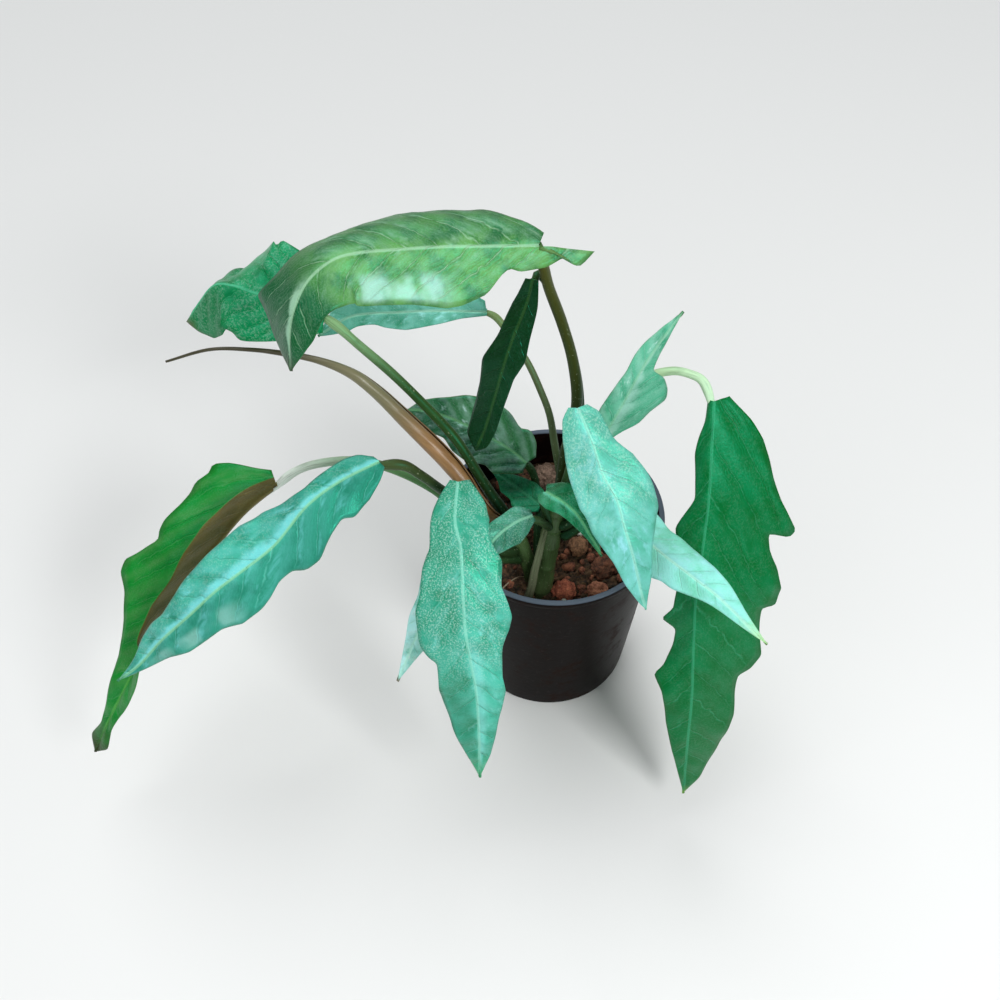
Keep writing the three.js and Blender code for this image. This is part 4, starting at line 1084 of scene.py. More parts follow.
def stalk_group():
    """Colour and relief of a smooth stalk, from its own map along and round it."""
    tree, g, given, result = new_group(
        "Stalk skin", [*colour_inputs("Foot", "Middle", "Head"), ("Seed", NUMBER, 0.0)], SURFACE
    )
    share, turn = g.flat_map("share")
    along, _ = g.flat_map("flat")
    body = g.body_place()
    colour = g.mix(g.step(share, 0.02, 0.5), given["Foot"], given["Middle"])
    colour = g.mix(g.step(share, 0.5, 0.98), colour, given["Head"])
    round_place = g.place(g.times(along, 4), g.times(g.math("SINE", g.times(turn, 6.2832)), 3), given["Seed"])
    streak = g.noise(round_place, 2.4, 3)
    colour = g.mix(g.times(g.step(streak, 0.45, 0.7), 0.35), colour, given["Foot"])
    flecks = g.step(g.noise(body, 900, 2), 0.66, 0.72)
    colour = g.mix(g.times(flecks, 0.3), colour, srgb(STALK_FLECK))
    g.put(result["Colour"], colour)
    g.put(result["Roughness"], g.plus(0.36, g.times(streak, 0.15)))
    g.put(result["Height"], g.plus(g.times(streak, 0.6), g.times(flecks, 0.4)))
    return tree


def ground_group():
    """Crumbly ground in two browns with paler bits, placed by the body's own axes."""
    tree, g, given, result = new_group(
        "Crumbly ground", [*colour_inputs("Dark", "Light"), ("Grain", NUMBER, 1.0)], SURFACE
    )
    body = g.body_place()
    coarse = g.noise(body, g.times(given["Grain"], 130), 5, 0.65)
    fine = g.noise(body, g.times(given["Grain"], 620), 4, 0.6)
    both = g.plus(g.times(coarse, 0.6), g.times(fine, 0.4))
    colour = g.mix(g.step(both, 0.38, 0.66), given["Dark"], given["Light"])
    bits = g.step(g.noise(body, g.times(given["Grain"], 380), 2), 0.68, 0.74)
    colour = g.mix(g.times(bits, 0.35), colour, srgb(GROUND_BIT))
    g.put(result["Colour"], colour)
    g.put(result["Roughness"], g.plus(0.78, g.times(fine, 0.2)))
    g.put(result["Height"], both)
    return tree


def scroll_group():
    """A rolled leaf's skin: long veins wound round it, tan in the middle and greyer to the end."""
    tree, g, given, result = new_group(
        "Rolled leaf skin", colour_inputs("Foot", "Body", "Light", "Waist", "End"), SURFACE
    )
    share, turn = g.flat_map("share")
    along, _ = g.flat_map("flat")
    wound = g.plus(g.times(turn, 9), g.times(along, 7))
    lines = g.math("PINGPONG", g.plus(wound, g.noise(g.place(along, turn, 0), 5, 2)), 0.5)
    clouds = g.noise(g.place(g.times(along, 1.2), g.times(turn, 3), 0), 2, 3)
    colour = g.mix(g.step(clouds, 0.35, 0.7), given["Body"], given["Light"])
    colour = g.mix(g.times(g.rest(g.step(lines, 0.02, 0.14)), 0.14), colour, given["Foot"])
    colour = g.mix(g.step(share, 0.22, 0.02), colour, given["Foot"])
    colour = g.mix(g.step(share, 0.26, 0.46), colour, given["Waist"])
    colour = g.mix(g.step(share, 0.5, 0.72), colour, given["End"])
    lip = g.plus(g.step(turn, 0.97, 1), g.step(turn, 0.03, 0))
    colour = g.mix(g.times(lip, 0.6), colour, given["Foot"])
    g.put(result["Colour"], colour)
    g.put(result["Roughness"], g.plus(0.34, g.times(lines, 0.2)))
    g.put(result["Height"], lines)
    return tree


def plastic_group():
    """Dark moulded plastic with faint scuffs, a trace of dust and a painted highlight on the rim's top."""
    tree, g, given, result = new_group("Nursery plastic", colour_inputs("Base"), SURFACE)
    body = g.body_place()
    dust = g.step(g.noise(body, 60, 5, 0.7), 0.5, 0.75)
    scuff = g.step(g.noise(body, 420, 2), 0.62, 0.7)
    colour = g.mix(g.times(dust, 0.1), given["Base"], srgb(CLAY_DUST))
    colour = g.mix(g.times(scuff, 0.05), colour, srgb(SCUFF))
    _, _, high = g.parts(body)
    # painted highlight: the top of the rim turns pale
    colour = g.mix(g.times(g.step(high, RIM_EDGE_LOW, RIM_EDGE_HIGH), 0.6), colour, srgb(RIM_HIGHLIGHT))
    g.put(result["Colour"], colour)
    g.put(result["Roughness"], g.plus(0.36, g.times(dust, 0.25)))
    g.put(result["Height"], g.noise(body, 300, 3))
    return tree


GROUP_MAKERS = {
    "Marbled leaf": leaf_group, "Stalk skin": stalk_group, "Crumbly ground": ground_group,
    "Rolled leaf skin": scroll_group, "Nursery plastic": plastic_group,
}


def material(name, group_name, relief, coat=0.0, sheen=(255, 255, 255), level=0.4, **values):
    """A material whose surface comes from one shader group; relief is the bump's depth in millimetres.

    The other values are the group's inputs, its colours as a paint chart gives them.
    """
    made = bpy.data.materials.new(name)
    made.use_nodes = True
    tree = made.node_tree
    tree.nodes.clear()
    group = bpy.data.node_groups.get(group_name) or GROUP_MAKERS[group_name]()
    skin = tree.nodes.new("ShaderNodeGroup")
    skin.node_tree = group
    for key, value in values.items():
        skin.inputs[label(key)].default_value = srgb(value) if isinstance(value, tuple) else value
    shader = tree.nodes.new("ShaderNodeBsdfPrincipled")
    bump = tree.nodes.new("ShaderNodeBump")
    out = tree.nodes.new("ShaderNodeOutputMaterial")
    bump.inputs["Distance"].default_value = relief * MM
    shader.inputs["Coat Weight"].default_value = coat
    shader.inputs["Coat Roughness"].default_value = 0.22
    shader.inputs["Specular IOR Level"].default_value = level
    shader.inputs["Specular Tint"].default_value = srgb(sheen)
    tree.links.new(skin.outputs["Colour"], shader.inputs["Base Color"])
    tree.links.new(skin.outputs["Roughness"], shader.inputs["Roughness"])
    tree.links.new(skin.outputs["Height"], bump.inputs["Height"])
    tree.links.new(bump.outputs["Normal"], shader.inputs["Normal"])
    tree.links.new(shader.outputs["BSDF"], out.inputs["Surface"])
    return made


def leaf_materials(name, look, settings, seed):
    """The upper and the lower skin of a leaf; the lower one is plainer and in the underside's colour."""
    own = {key: look[key] for key in (*LEAF_COLOURS, *LEAF_MARKS)}
    own.update(seed=float(seed), rough=look["rough"] * settings.leaf_roughness)
    upper = material(f"leaf_{name}_upper", "Marbled leaf", 0.5, settings.leaf_coat, LEAF_SHEEN, 0.5, **own)
    under = look["under"]
    lighter = tuple(min(255, value * 1.16 + 10) for value in under)
    darker = tuple(value * 0.82 for value in under)
    shared = {key: own[key] for key in UNDERSIDE_SHARES}
    lower = material(
        f"leaf_{name}_under", "Marbled leaf", 0.4, 0.0, LEAF_SHEEN,
        deep=darker, middle=under, pale=lighter, midrib=lighter, vein=lighter, patches=0.1, specks=0.05,
        specks_to=1.2, vein_tone=0.5, strokes=0.0, rough=0.45 * settings.leaf_roughness, **shared,
    )
    return upper, lower


# Pieces

def build_blade(leaf, settings, seed):
    """A leaf's sheet, lobed, veined, folded over its midrib and thickened downwards."""
    look = {"quilt": QUILT, **LEAF_MARKS, **LEAF_LOOKS[leaf["name"]]}
    path = Path(leaf["midrib"])
    edges = {side: edge_line(leaf, side, path.length) for side in ("left", "right")}
    starts = row_starts(edges.values(), path.length, settings.row_step / MM)
    piece, u, v = grid_piece(f"leaf_{leaf['name']}", len(starts) - 1, 2 * COLUMNS_A_SIDE)

    # places on the flat leaf
    start = starts[np.rint(u * (len(starts) - 1)).astype(int)]
    signed = 2 * v - 1
    on_left = signed >= 0
    out_share = np.abs(signed) ** COLUMN_CROWDING
    edge_a, edge_c, own_start = (np.empty_like(start) for _ in range(3))
    for side, mask in (("left", on_left), ("right", ~on_left)):
        line_starts, line_a, line_c = edges[side]
        own_start[mask] = np.maximum(start[mask], line_starts[0])
        edge_a[mask] = np.interp(own_start[mask], line_starts, line_a)
        edge_c[mask] = np.interp(own_start[mask], line_starts, line_c)
    root = np.clip(own_start, 0, path.length)
    a = root + (edge_a - root) * out_share
    reach = edge_c * out_share
    c = np.where(on_left, reach, -reach)
    from_edge = (1 - out_share) * edge_c * math.hypot(1, VEIN_SLANT)

    # side veins, counted from the base, with uneven gaps
    veins = (a - LOOK_SLANT * reach + VEIN_SWEEP * reach**2) / look["spacing"] + np.where(on_left, 0, 0.35)
    veins = veins + 0.12 * np.sin(1.7 * veins + seed) + 0.07 * np.sin(4.1 * veins + 2 * seed)

    # relief: the sunken midrib, the swelling between veins, broad waves and the wavy edge
    lift = HALF_SOLID_BLADE - 0.35 * hill(reach, 0, GROOVE_WIDTH)
    swell = np.sin(np.pi * veins) ** 2 * np.sin(np.pi * np.clip(out_share, 0, 1) ** 0.8)
    lift += look["quilt"] * settings.vein_relief / MM * (swell - 0.35 * (out_share > 0))
    rng = random.Random(seed)
    phases = [rng.uniform(0, 2 * math.pi) for _ in range(4)]
    wave = np.sin(2 * np.pi * a / 47 + np.where(on_left, phases[0], phases[1]))
    wave += 0.35 * np.sin(2 * np.pi * a / 21 + np.where(on_left, phases[2], phases[3]))
    lobe = np.minimum(1, edge_c / LOBE_WIDTH)
    lift += 0.9 * out_share * np.sin(a / 15 + phases[0]) * np.sin(c / 11 + phases[1]) * lobe
    lift += settings.margin_wave / MM * out_share**2 * wave * lobe
    set_places(piece, leaf_places(leaf, path, a, c, lift))

    add_map(piece, "flat", a / 100, c / 100)
    add_map(piece, "vein", veins, np.where(on_left, out_share, -out_share))
    add_map(piece, "edge", from_edge / 10, a / path.length)
    ridge = hill(reach, 0, RIB_WIDTH) * (1 - 0.75 * np.clip(a / path.length, 0, 1))
    shares = np.clip(0.2 + 0.16 * np.clip(from_edge / 3, 0, 1) + 0.64 * ridge, 0, 1)
    for skin in leaf_materials(leaf["name"], look, settings, seed):
        piece.data.materials.append(skin)
    give_wall(piece, BLADE_THICKNESS_AT_RIDGE, shares, -1)
    finish_piece(piece, f"blade_{leaf['name']}")


def build_stalk(leaf, seed):
    """A stalk that widens at its foot, swells below the blade and runs on under it to a thin end."""
    slot, foot, middle, head = STALK_LOOKS[leaf["name"]]
    midrib = Path(leaf["midrib"])
    low, high = leaf["stalk_radius"]
    origin, _, up, _, _ = leaf_frame(leaf, midrib, np.array(STALK_TAIL) / midrib.length)
    tail = origin - up * np.array([high * 0.95 + 1.1, high * 0.7 + 0.9, 1.3])[:, None]
    path = Path([*leaf["stalk"][:-1], *(tuple(p) for p in tail)])
    end = Path(leaf["stalk"]).length

    def radius(at, turn):
        size = low + (high - low) * np.sqrt(np.clip(at / end, 0, 1))
        size = size * (1 + 0.45 * np.exp(-at / 10))
        size = size * (1 + 0.16 * hill(at, end - 6, 7))
        size = size * (1 - 0.8 * smooth(at, end - 8, path.length))
        ribs = 0.02 * np.cos(2 * np.pi * 9 * turn) + 0.02 * np.sin(at / 7 + 4 * np.pi * turn + seed)
        return size * (1 + ribs)

    rows = max(2 * FEWEST_ROWS, int(path.length / STALK_ROW_STEP))
    piece = swept_piece(f"leafstalk_{leaf['name']}", path, radius, rows, STALK_COLUMNS)
    skin = material(
        f"stalk_{leaf['name']}_skin", "Stalk skin", 0.15, 0.0, LEAF_SHEEN,
        foot=foot, middle=middle, head=head, seed=float(seed),
    )
    piece.data.materials.append(skin)
    finish_piece(piece, f"stalk_{leaf['name']}")


def build_stem():
    """The main stem with its leaf rings, the shoot beside it and the dry sheaths, joined."""
    bark = material(
        "stem_skin", "Stalk skin", 0.5, 0.05,
        foot=(52, 56, 34), middle=(68, 92, 52), head=(84, 118, 66), seed=3.0,
    )
    husk = material(
        "stem_sheath_skin", "Stalk skin", 0.3,
        foot=(88, 92, 70), middle=(120, 128, 100), head=(96, 108, 72), seed=9.0,
    )
    parts = []

    def add_part(name, path, radius, rows, columns, skin):
        part = swept_piece(name, path, radius, rows, columns)
        part.data.materials.append(skin)
        parts.append(part)

    for name, line, ring_height in (("stem_main", STEM, 0.55), ("stem_shoot", SHOOT, 0.0)):
        path = Path(line["points"])

        def stem_radius(at, turn):
            share = at / path.length
            size = ramp(line["radius"], share)
            for ring in STEM_RINGS:
                size = size + ring_height * hill(at, ring * path.length, 1.1)
            lumps = 0.05 * np.sin(at / 4.3 + 6 * np.pi * turn) + 0.04 * np.sin(at / 2.1 - 4 * np.pi * turn)
            return size * (1 + lumps)

        add_part(name, path, stem_radius, 90, 40, bark)
    for width, shift in SHEATHS:
        path = Path([(x + SHEATH_OFFSET[0] + shift, y + SHEATH_OFFSET[1], z) for x, y, z in SHEATH_LINE])

        def sheath_radius(at, turn):
            taper = np.sqrt(np.clip(1 - at / path.length, 0, 1))
            return 0.5 * width * taper + 0.35 + 0.1 * np.sin(at / 3 + 5 * turn)

        add_part(f"stem_sheath_{width}", path, sheath_radius, 60, 20, husk)
    finish_piece(join(parts, "plant_stem"), "stem")


def build_rolled_leaf():
    """A sheet wound round its own line, so that its free edge shows as a lip."""
    path = Path(ROLLED_LEAF["points"])
    piece, u, v = grid_piece("rolled_leaf", SCROLL_ROWS, SCROLL_COLUMNS)
    shares = np.linspace(0, 1, SCROLL_ROWS + 1)
    along = path.along(shares)
    up = unit(np.array((0, 0, 1)) - along * along[:, 2:3])
    side = np.cross(up, along)
    row = np.rint(u * SCROLL_ROWS).astype(int)
    share = shares[row]
    angle = 2 * np.pi * (v * SCROLL_TURNS + SCROLL_START + SCROLL_TWIST * share)
    at = share * path.length
    size = ramp(ROLLED_LEAF["radius"], share) * (1 - 0.24 * v * SCROLL_TURNS) * (1 + 0.03 * np.sin(at / 8))
    around = side[row] * np.cos(angle)[:, None] + up[row] * np.sin(angle)[:, None]
    set_places(piece, path.point(shares)[row] + around * size[:, None])
    add_map(piece, "flat", at / 100, v * SCROLL_TURNS)
    add_map(piece, "share", share, v)
    skin = material(
        "rolled_leaf_skin", "Rolled leaf skin", 0.25, 0.2,
        foot=(100, 74, 42), body=(132, 96, 56), light=(164, 126, 84), waist=(124, 120, 90), end=(62, 58, 34),
    )
    piece.data.materials.append(skin)
    give_wall(piece, SCROLL_THICKNESS, np.clip(size / 6, 0.1, 1), 0)
    finish_piece(piece, "rolled_new_leaf")


def wall_radius(height):
    """The pot's outer radius at a height; the wall leans outwards."""
    return POT_BASE_RADIUS + (POT_RIM_RADIUS - RIM_LIP_REACH - POT_BASE_RADIUS) * height / POT_HEIGHT


def pot_profile():
    """The pot's section from the middle of its base round to the middle of its floor."""
    section = [(0, 0)]
    foot = wall_radius(0) - POT_BASE_ROUND
    for i in range(6):
        angle = math.pi / 2 * i / 5
        rise = POT_BASE_ROUND * (1 - math.cos(angle))
        section.append((foot + POT_BASE_ROUND * math.sin(angle), rise))
    lip_foot = POT_HEIGHT - RIM_LIP_HEIGHT
    for share in (0.1, 0.3, 0.5, 0.7, 0.9, 1):
        height = POT_BASE_ROUND + (lip_foot - POT_BASE_ROUND) * share
        section.append((wall_radius(height), height))
    section += [
        (POT_RIM_RADIUS - 0.5, lip_foot + 0.1), (POT_RIM_RADIUS, lip_foot + 0.7),
        (POT_RIM_RADIUS, POT_HEIGHT - 0.9), (POT_RIM_RADIUS - 0.3, POT_HEIGHT - 0.3),
        (POT_RIM_RADIUS - 0.9, POT_HEIGHT), (wall_radius(POT_HEIGHT) - POT_WALL + 0.5, POT_HEIGHT),
        (wall_radius(POT_HEIGHT) - POT_WALL, POT_HEIGHT - 0.5),
    ]
    for share in (0.8, 0.6, 0.4, 0.2, 0):
        height = POT_FLOOR + (POT_HEIGHT - POT_FLOOR) * share
        section.append((wall_radius(height) - POT_WALL, height))
    section.append((0, POT_FLOOR))
    return section


def build_pot():
    section = pot_profile()
    mesh = bpy.data.meshes.new("nursery_pot")
    mesh.from_pydata(
        [(reach * MM, 0, height * MM) for reach, height in section],
        [(i, i + 1) for i in range(len(section) - 1)],
        [],
    )
    pot = bpy.data.objects.new("nursery_pot", mesh)
    bpy.context.collection.objects.link(pot)
    edit_all(
        pot,
        lambda: bpy.ops.mesh.spin(steps=POT_STEPS, angle=2 * math.pi, center=(0, 0, 0), axis=(0, 0, 1)),
        merge_doubles,
        face_outward,
    )
    drills = []
    for i in range(DRAIN_HOLES):
        angle = (i + 0.5) / DRAIN_HOLES * 2 * math.pi
        bpy.ops.object.select_all(action="DESELECT")
        bpy.ops.mesh.primitive_cylinder_add(
            vertices=DRAIN_HOLE_SIDES, radius=DRAIN_HOLE_RADIUS * MM, depth=4 * POT_FLOOR * MM,
            location=(DRAIN_RING_RADIUS * MM * math.cos(angle), DRAIN_RING_RADIUS * MM * math.sin(angle), 0),
        )
        drills.append(bpy.context.active_object)
    drill = join(drills, "drain_drill")
    cut = pot.modifiers.new("drain", "BOOLEAN")
    cut.operation = "DIFFERENCE"
    cut.solver = "EXACT"
    cut.object = drill
    apply_modifier(pot, cut)
    bpy.data.objects.remove(drill, do_unlink=True)
    skin = material("pot_plastic_skin", "Nursery plastic", 0.06, 0.0, (170, 160, 156), 0.04, base=(12, 6, 5))
    pot.data.materials.append(skin)
    pick(pot)
    bpy.ops.object.shade_smooth_by_angle(angle=math.radians(SHARPEST_SMOOTH_ANGLE))
    settle_piece(pot, "pot")


def soil_height(x, y):
    coarse = np.sin(x * 0.31 + 1.3) * np.cos(y * 0.27 - 0.6)
    fine = np.sin(x * 0.83 - y * 0.47) * np.cos(y * 0.91 + x * 0.29 + 2.1)
    return SOIL_LEVEL + SOIL_LUMP * (0.45 * coarse + 0.55 * fine)


def rough_noise(places, size, seed, octaves=4):
    """Uneven heights from -1 to 1 at places in millimetres."""
    shift = Vector((seed * 13.1, seed * 7.7, seed * 3.3))
    return np.array([noise.fractal(Vector(p) / size + shift, 0.8, 2.1, octaves) for p in places])


def build_soil(settings):
    """The soil's lumpy top, side and base, closed at the middle."""
    piece, u, v = grid_piece("potting_soil", SOIL_ROWS, SOIL_COLUMNS)
    deep = POT_FLOOR + GAP
    low_edge = SOIL_LEVEL - SOIL_EDGE_DROP
    top = wall_radius(SOIL_LEVEL) - POT_WALL - GAP
    foot = wall_radius(deep) - POT_WALL - GAP
    reach = np.interp(u, [0, SOIL_TOP_SHARE, SOIL_SIDE_SHARE, 1], [0, top, foot, 0])
    angle = 2 * np.pi * v
    x, y = reach * np.cos(angle), reach * np.sin(angle)
    on_top = u <= SOIL_TOP_SHARE
    edge = smooth(reach, top - SOIL_EDGE_WIDTH, top)
    height = soil_height(x, y) * (1 - edge) + low_edge * edge
    level = np.stack([x, y, np.full_like(x, SOIL_LEVEL)], axis=-1)[on_top]
    bumps = np.zeros_like(x)
    bumps[on_top] = rough_noise(level, 9, settings.seed) + 0.55 * rough_noise(level, 2.6, settings.seed + 1)
    height = height + 1.5 * bumps * (1 - 0.6 * edge)
    below = np.interp(u, [SOIL_TOP_SHARE, SOIL_SIDE_SHARE, 1], [low_edge, deep, deep])
    set_places(piece, np.stack([x, y, np.where(on_top, height, below)], axis=-1))
    edit_all(piece, merge_doubles)
    piece.data.materials.append(ground("soil_skin", 1.1, (29, 22, 13), (104, 76, 52), 1.0))
    finish_piece(piece, "soil")


def ground(name, relief, dark, light, grain):
    return material(name, "Crumbly ground", relief, dark=dark, light=light, grain=grain)


def lump(name, centre, size, detail, seed, rough=0.22, grain=0.55):
    """An uneven lump with flat spots, from an icosphere."""
    bpy.ops.object.select_all(action="DESELECT")
    bpy.ops.mesh.primitive_ico_sphere_add(subdivisions=detail, radius=1, location=(0, 0, 0))
    piece, ball = bare_piece(name)
    bumps = rough_noise(ball, grain, seed, 5)
    facets = np.round(ball * 2.2 + 0.3) / 2.2 - 0.1
    shape = ball * (1 + rough * bumps)[:, None] * 0.8 + facets * 0.16
    set_places(piece, shape * np.array(size) + np.array(centre))
    return piece


def build_clods():
    for seed, name in enumerate(CLODS, 2):
        low, high = (np.array(corner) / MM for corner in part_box(name))
        piece = lump(f"baked_{name}", (low + high) / 2, (high - low) / 2, 5, seed)
        dark, light = CLOD_COLOURS.get(name, CLOD_COLOUR)
        piece.data.materials.append(ground(f"{name}_skin", 0.9, dark, light, 1.5))
        finish_piece(piece, name)


def build_litter(settings):
    """Loose crumbs, white grains and rootlets that lie on the soil."""
    rng = random.Random(settings.seed)
    crumbs = []
    for i in range(settings.crumb_count):
        angle = rng.uniform(0, 2 * math.pi)
        reach = LITTER_RADIUS * math.sqrt(rng.random())
        x, y = reach * math.cos(angle), reach * math.sin(angle)
        if math.hypot(x - STEM_FOOT[0], y - STEM_FOOT[1]) < STEM_CLEARANCE:
            continue
        size = rng.choice(CRUMB_SIZES) * rng.uniform(0.8, 1.2)
        shape = (size * rng.uniform(0.8, 1.3), size * rng.uniform(0.8, 1.3), size * rng.uniform(0.6, 1))
        crumbs.append(lump(f"crumb_{i}", (x, y, soil_height(x, y) + CRUMB_LIFT), shape, 2, i + 40, 0.3, 0.8))
    grains = []
    for i, ((x, y), size) in enumerate(PERLITE):
        shape = (size * 1.1, size, size * 0.8)
        grains.append(lump(f"grain_{i}", (x, y, soil_height(x, y) + GRAIN_LIFT), shape, 3, i + 300, 0.3, 0.7))
    roots = []
    for i, points in enumerate(ROOTLETS):
        path = Path(points)
        roots.append(
            swept_piece(f"rootlet_{i}", path, lambda at, turn: 0.55 * (1 - 0.5 * at / path.length), 50, 10)
        )
    root_skin = material(
        "rootlet_skin", "Stalk skin", 0.1,
        foot=(120, 104, 84), middle=(150, 134, 112), head=(110, 94, 74), seed=5.0,
    )
    for name, bits, skin in (
        ("soil_crumbs", crumbs, ground("crumb_skin", 0.5, (62, 34, 24), (152, 94, 68), 1.8)),
        ("perlite_grains", grains, ground("perlite_skin", 0.3, (170, 166, 156), (232, 230, 222), 3.0)),
        ("rootlets", roots, root_skin),
    ):
        piece = join(bits, name)
        piece.data.materials.append(skin)
        finish_piece(piece)


def build_stage(settings):
    """Pale floor, soft lights, plain world and the camera at the photo's angle."""
    scene = bpy.context.scene
    bpy.ops.object.select_all(action="DESELECT")
    bpy.ops.mesh.primitive_plane_add(size=FLOOR_SIZE, location=(0, 0, 0))
    floor = bpy.context.active_object
    floor.name = "floor"
    paint = bpy.data.materials.new("floor_paint")
    paint.use_nodes = True
    shader = paint.node_tree.nodes["Principled BSDF"]
    shader.inputs["Base Color"].default_value = srgb((226, 227, 226))
    shader.inputs["Roughness"].default_value = 0.8
    floor.data.materials.append(paint)
    for name, place, power, size in (
        ("key_light", (0.65, -0.95, 1.25), settings.key_power, 0.45),
        ("fill_light", (-0.95, -0.75, 1.4), settings.fill_power, 1.1),
    ):
        bpy.ops.object.light_add(type="AREA", location=place)
        light = bpy.context.active_object
        light.name = name
        light.data.energy = power
        light.data.size = size
        aim = Vector(LIGHT_AIM) - Vector(place)
        light.rotation_euler = aim.to_track_quat("-Z", "Y").to_euler()
    tilt = (*(math.radians(angle) for angle in CEILING_TILT), 0)
    bpy.ops.object.light_add(type="SUN", location=CEILING_PLACE, rotation=tilt)
    ceiling = bpy.context.active_object
    ceiling.name = "ceiling_light"
    ceiling.data.energy = settings.ceiling_strength
    ceiling.data.angle = math.radians(CEILING_SPREAD)
    world = scene.world or bpy.data.worlds.new("studio")
    scene.world = world
    world.use_nodes = True
    tree = world.node_tree
    tree.nodes.clear()
    sky, backdrop = (tree.nodes.new("ShaderNodeBackground") for _ in range(2))
    sky.inputs["Color"].default_value = (0.93, 0.97, 1, 1)
    sky.inputs["Strength"].default_value = settings.sky_strength
    backdrop.inputs["Color"].default_value = srgb((214, 216, 216))
    seen = tree.nodes.new("ShaderNodeLightPath")
    either = tree.nodes.new("ShaderNodeMixShader")
    out = tree.nodes.new("ShaderNodeOutputWorld")
    tree.links.new(seen.outputs["Is Camera Ray"], either.inputs[0])
    tree.links.new(sky.outputs[0], either.inputs[1])
    tree.links.new(backdrop.outputs[0], either.inputs[2])
    tree.links.new(either.outputs[0], out.inputs[0])
    pitch = math.radians(90 - settings.camera_pitch)
    bpy.ops.object.camera_add(location=CAMERA_PLACE, rotation=(pitch, 0, 0))
    camera = bpy.context.active_object
    camera.data.lens = settings.camera_lens
    camera.data.sensor_width = SENSOR_MM
    camera.data.clip_start = NEAREST_SEEN
    scene.camera = camera
    scene.view_settings.view_transform = "Standard"


LENGTH = {"min": 0, "subtype": "DISTANCE", "unit": "LENGTH", "precision": 5}


class PlantSettings(bpy.types.PropertyGroup):
    row_step: bpy.props.FloatProperty(
        name="Row step", description="Spacing of a leaf's rows", default=1.9 * MM,
        **{**LENGTH, "min": 0.5 * MM},
    )
    vein_relief: bpy.props.FloatProperty(
        name="Vein relief", description="How far a leaf rises between its side veins", default=1.1 * MM,
        **LENGTH,
    )
    margin_wave: bpy.props.FloatProperty(
        name="Edge wave", description="Height of the waves along a leaf's edge", default=0.7 * MM, **LENGTH
    )
    leaf_roughness: bpy.props.FloatProperty(
        name="Leaf roughness", description="Scale of every leaf's own roughness", default=1, min=0, max=2,
    )
    leaf_coat: bpy.props.FloatProperty(
        name="Leaf wax", description="Strength of the waxy layer on the leaves", default=0.02, min=0, max=1,
    )
    crumb_count: bpy.props.IntProperty(
        name="Crumbs", description="Loose crumbs on the soil", default=240, min=1
    )
    seed: bpy.props.IntProperty(name="Seed", description="Start of the soil's random shapes", default=7)
    key_power: bpy.props.FloatProperty(
        name="Key light", description="Power of the light in front on the right", default=14, min=0,
        unit="POWER",
    )
    fill_power: bpy.props.FloatProperty(
        name="Fill light", description="Power of the light in front on the left", default=5, min=0,
        unit="POWER",
    )
    ceiling_strength: bpy.props.FloatProperty(
        name="Ceiling light", description="Strength of the wide soft light from above", default=1.7, min=0,
    )
    sky_strength: bpy.props.FloatProperty(
        name="Sky", description="Brightness of the plain surroundings", default=0.28, min=0,
    )
    camera_pitch: bpy.props.FloatProperty(
        name="Camera pitch", description="How far the camera looks down, in degrees", default=52.2,
    )
    camera_lens: bpy.props.FloatProperty(
        name="Camera lens", description="Focal length in millimetres", default=43.2, min=1,
    )


class PLANT_OT_pot(bpy.types.Operator):
    """Add the nursery pot with its lip and drain holes"""

    bl_idname = "plant.pot"
    bl_label = "Nursery pot"

    def execute(self, context):
        build_pot()
        return {"FINISHED"}


class PLANT_OT_soil(bpy.types.Operator):
    """Add the potting soil with its crumbs, white grains and rootlets"""

    bl_idname = "plant.soil"
    bl_label = "Potting soil"

    def execute(self, context):
        build_soil(context.scene.plant_settings)
        build_litter(context.scene.plant_settings)
        return {"FINISHED"}


class PLANT_OT_clods(bpy.types.Operator):
    """Add the clods of baked clay"""

    bl_idname = "plant.clods"
    bl_label = "Clay clods"

    def execute(self, context):
        build_clods()
        return {"FINISHED"}


class PLANT_OT_stem(bpy.types.Operator):
    """Add the main stem, the shoot beside it and their dry sheaths"""

    bl_idname = "plant.stem"
    bl_label = "Stem"

    def execute(self, context):
        build_stem()
        return {"FINISHED"}


class PLANT_OT_rolled_leaf(bpy.types.Operator):
    """Add the new leaf, still rolled up"""

    bl_idname = "plant.rolled_leaf"
    bl_label = "Rolled new leaf"

    def execute(self, context):
        build_rolled_leaf()
        return {"FINISHED"}


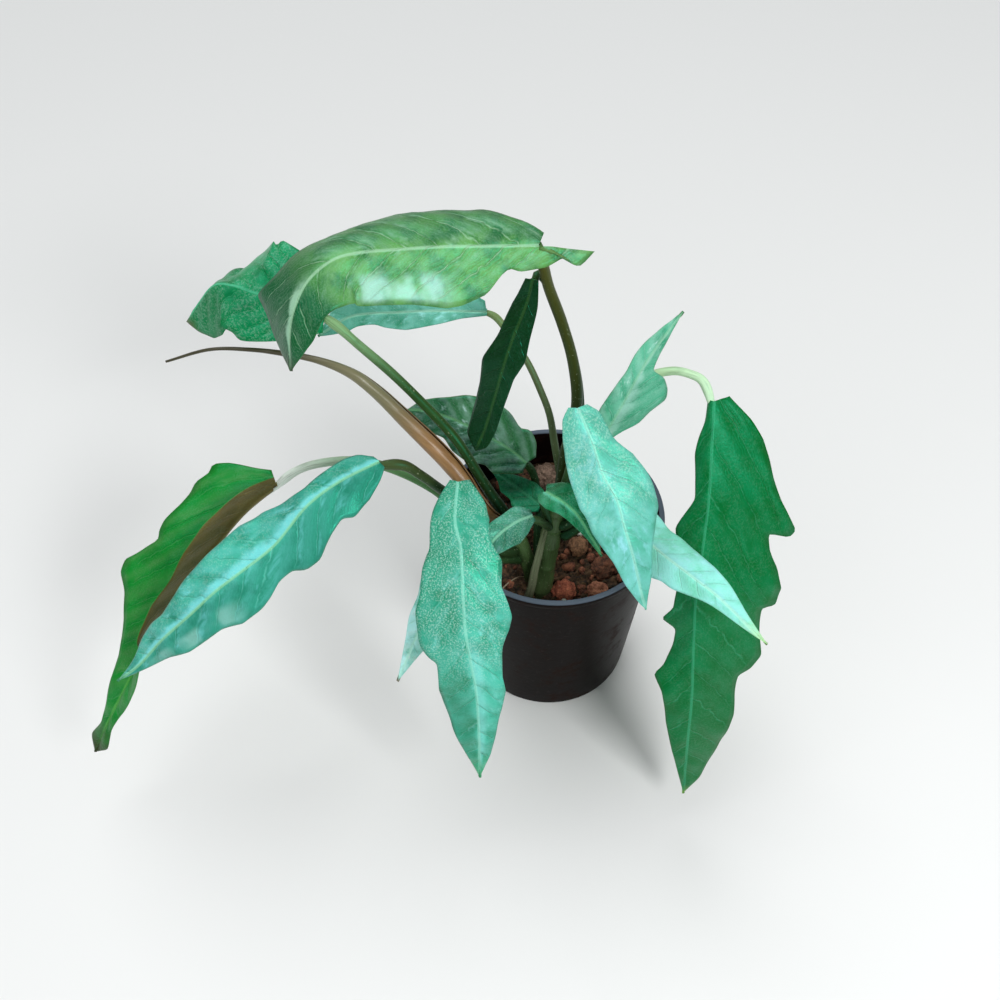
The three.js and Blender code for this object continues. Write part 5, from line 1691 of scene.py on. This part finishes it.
class PLANT_OT_stalks(bpy.types.Operator):
    """Add every leaf's stalk"""

    bl_idname = "plant.stalks"
    bl_label = "Leaf stalks"

    def execute(self, context):
        for seed, leaf in enumerate(LEAVES):
            build_stalk(leaf, seed)
        return {"FINISHED"}


class PLANT_OT_blades(bpy.types.Operator):
    """Add every leaf's lobed blade"""

    bl_idname = "plant.blades"
    bl_label = "Leaf blades"

    def execute(self, context):
        for seed, leaf in enumerate(LEAVES):
            build_blade(leaf, context.scene.plant_settings, seed)
        return {"FINISHED"}


class PLANT_OT_stage(bpy.types.Operator):
    """Add the floor, the lights and the camera"""

    bl_idname = "plant.stage"
    bl_label = "Floor, lights and camera"

    def execute(self, context):
        build_stage(context.scene.plant_settings)
        return {"FINISHED"}


PIECE_OPERATORS = (
    PLANT_OT_pot, PLANT_OT_soil, PLANT_OT_clods, PLANT_OT_stem, PLANT_OT_rolled_leaf, PLANT_OT_stalks,
    PLANT_OT_blades, PLANT_OT_stage,
)


class PLANT_PT_panel(bpy.types.Panel):
    """Buttons for the plant's pieces"""

    bl_idname = "PLANT_PT_panel"
    bl_label = "Potted philodendron"
    bl_space_type = "VIEW_3D"
    bl_region_type = "UI"
    bl_category = "Plant"

    def draw(self, context):
        settings = context.scene.plant_settings
        for name in PlantSettings.__annotations__:
            self.layout.prop(settings, name)
        for operator in PIECE_OPERATORS:
            self.layout.operator(operator.bl_idname)


CLASSES = (PlantSettings, *PIECE_OPERATORS, PLANT_PT_panel)


def register():
    for cls in CLASSES:
        bpy.utils.register_class(cls)
    bpy.types.Scene.plant_settings = bpy.props.PointerProperty(type=PlantSettings)


def unregister():
    del bpy.types.Scene.plant_settings
    for cls in reversed(CLASSES):
        bpy.utils.unregister_class(cls)


def main():
    register()
    bpy.ops.plant.pot()
    bpy.ops.plant.soil()
    bpy.ops.plant.clods()
    bpy.ops.plant.stem()
    bpy.ops.plant.rolled_leaf()
    bpy.ops.plant.stalks()
    bpy.ops.plant.blades()
    bpy.ops.plant.stage()


if __name__ == "__main__":
    main()
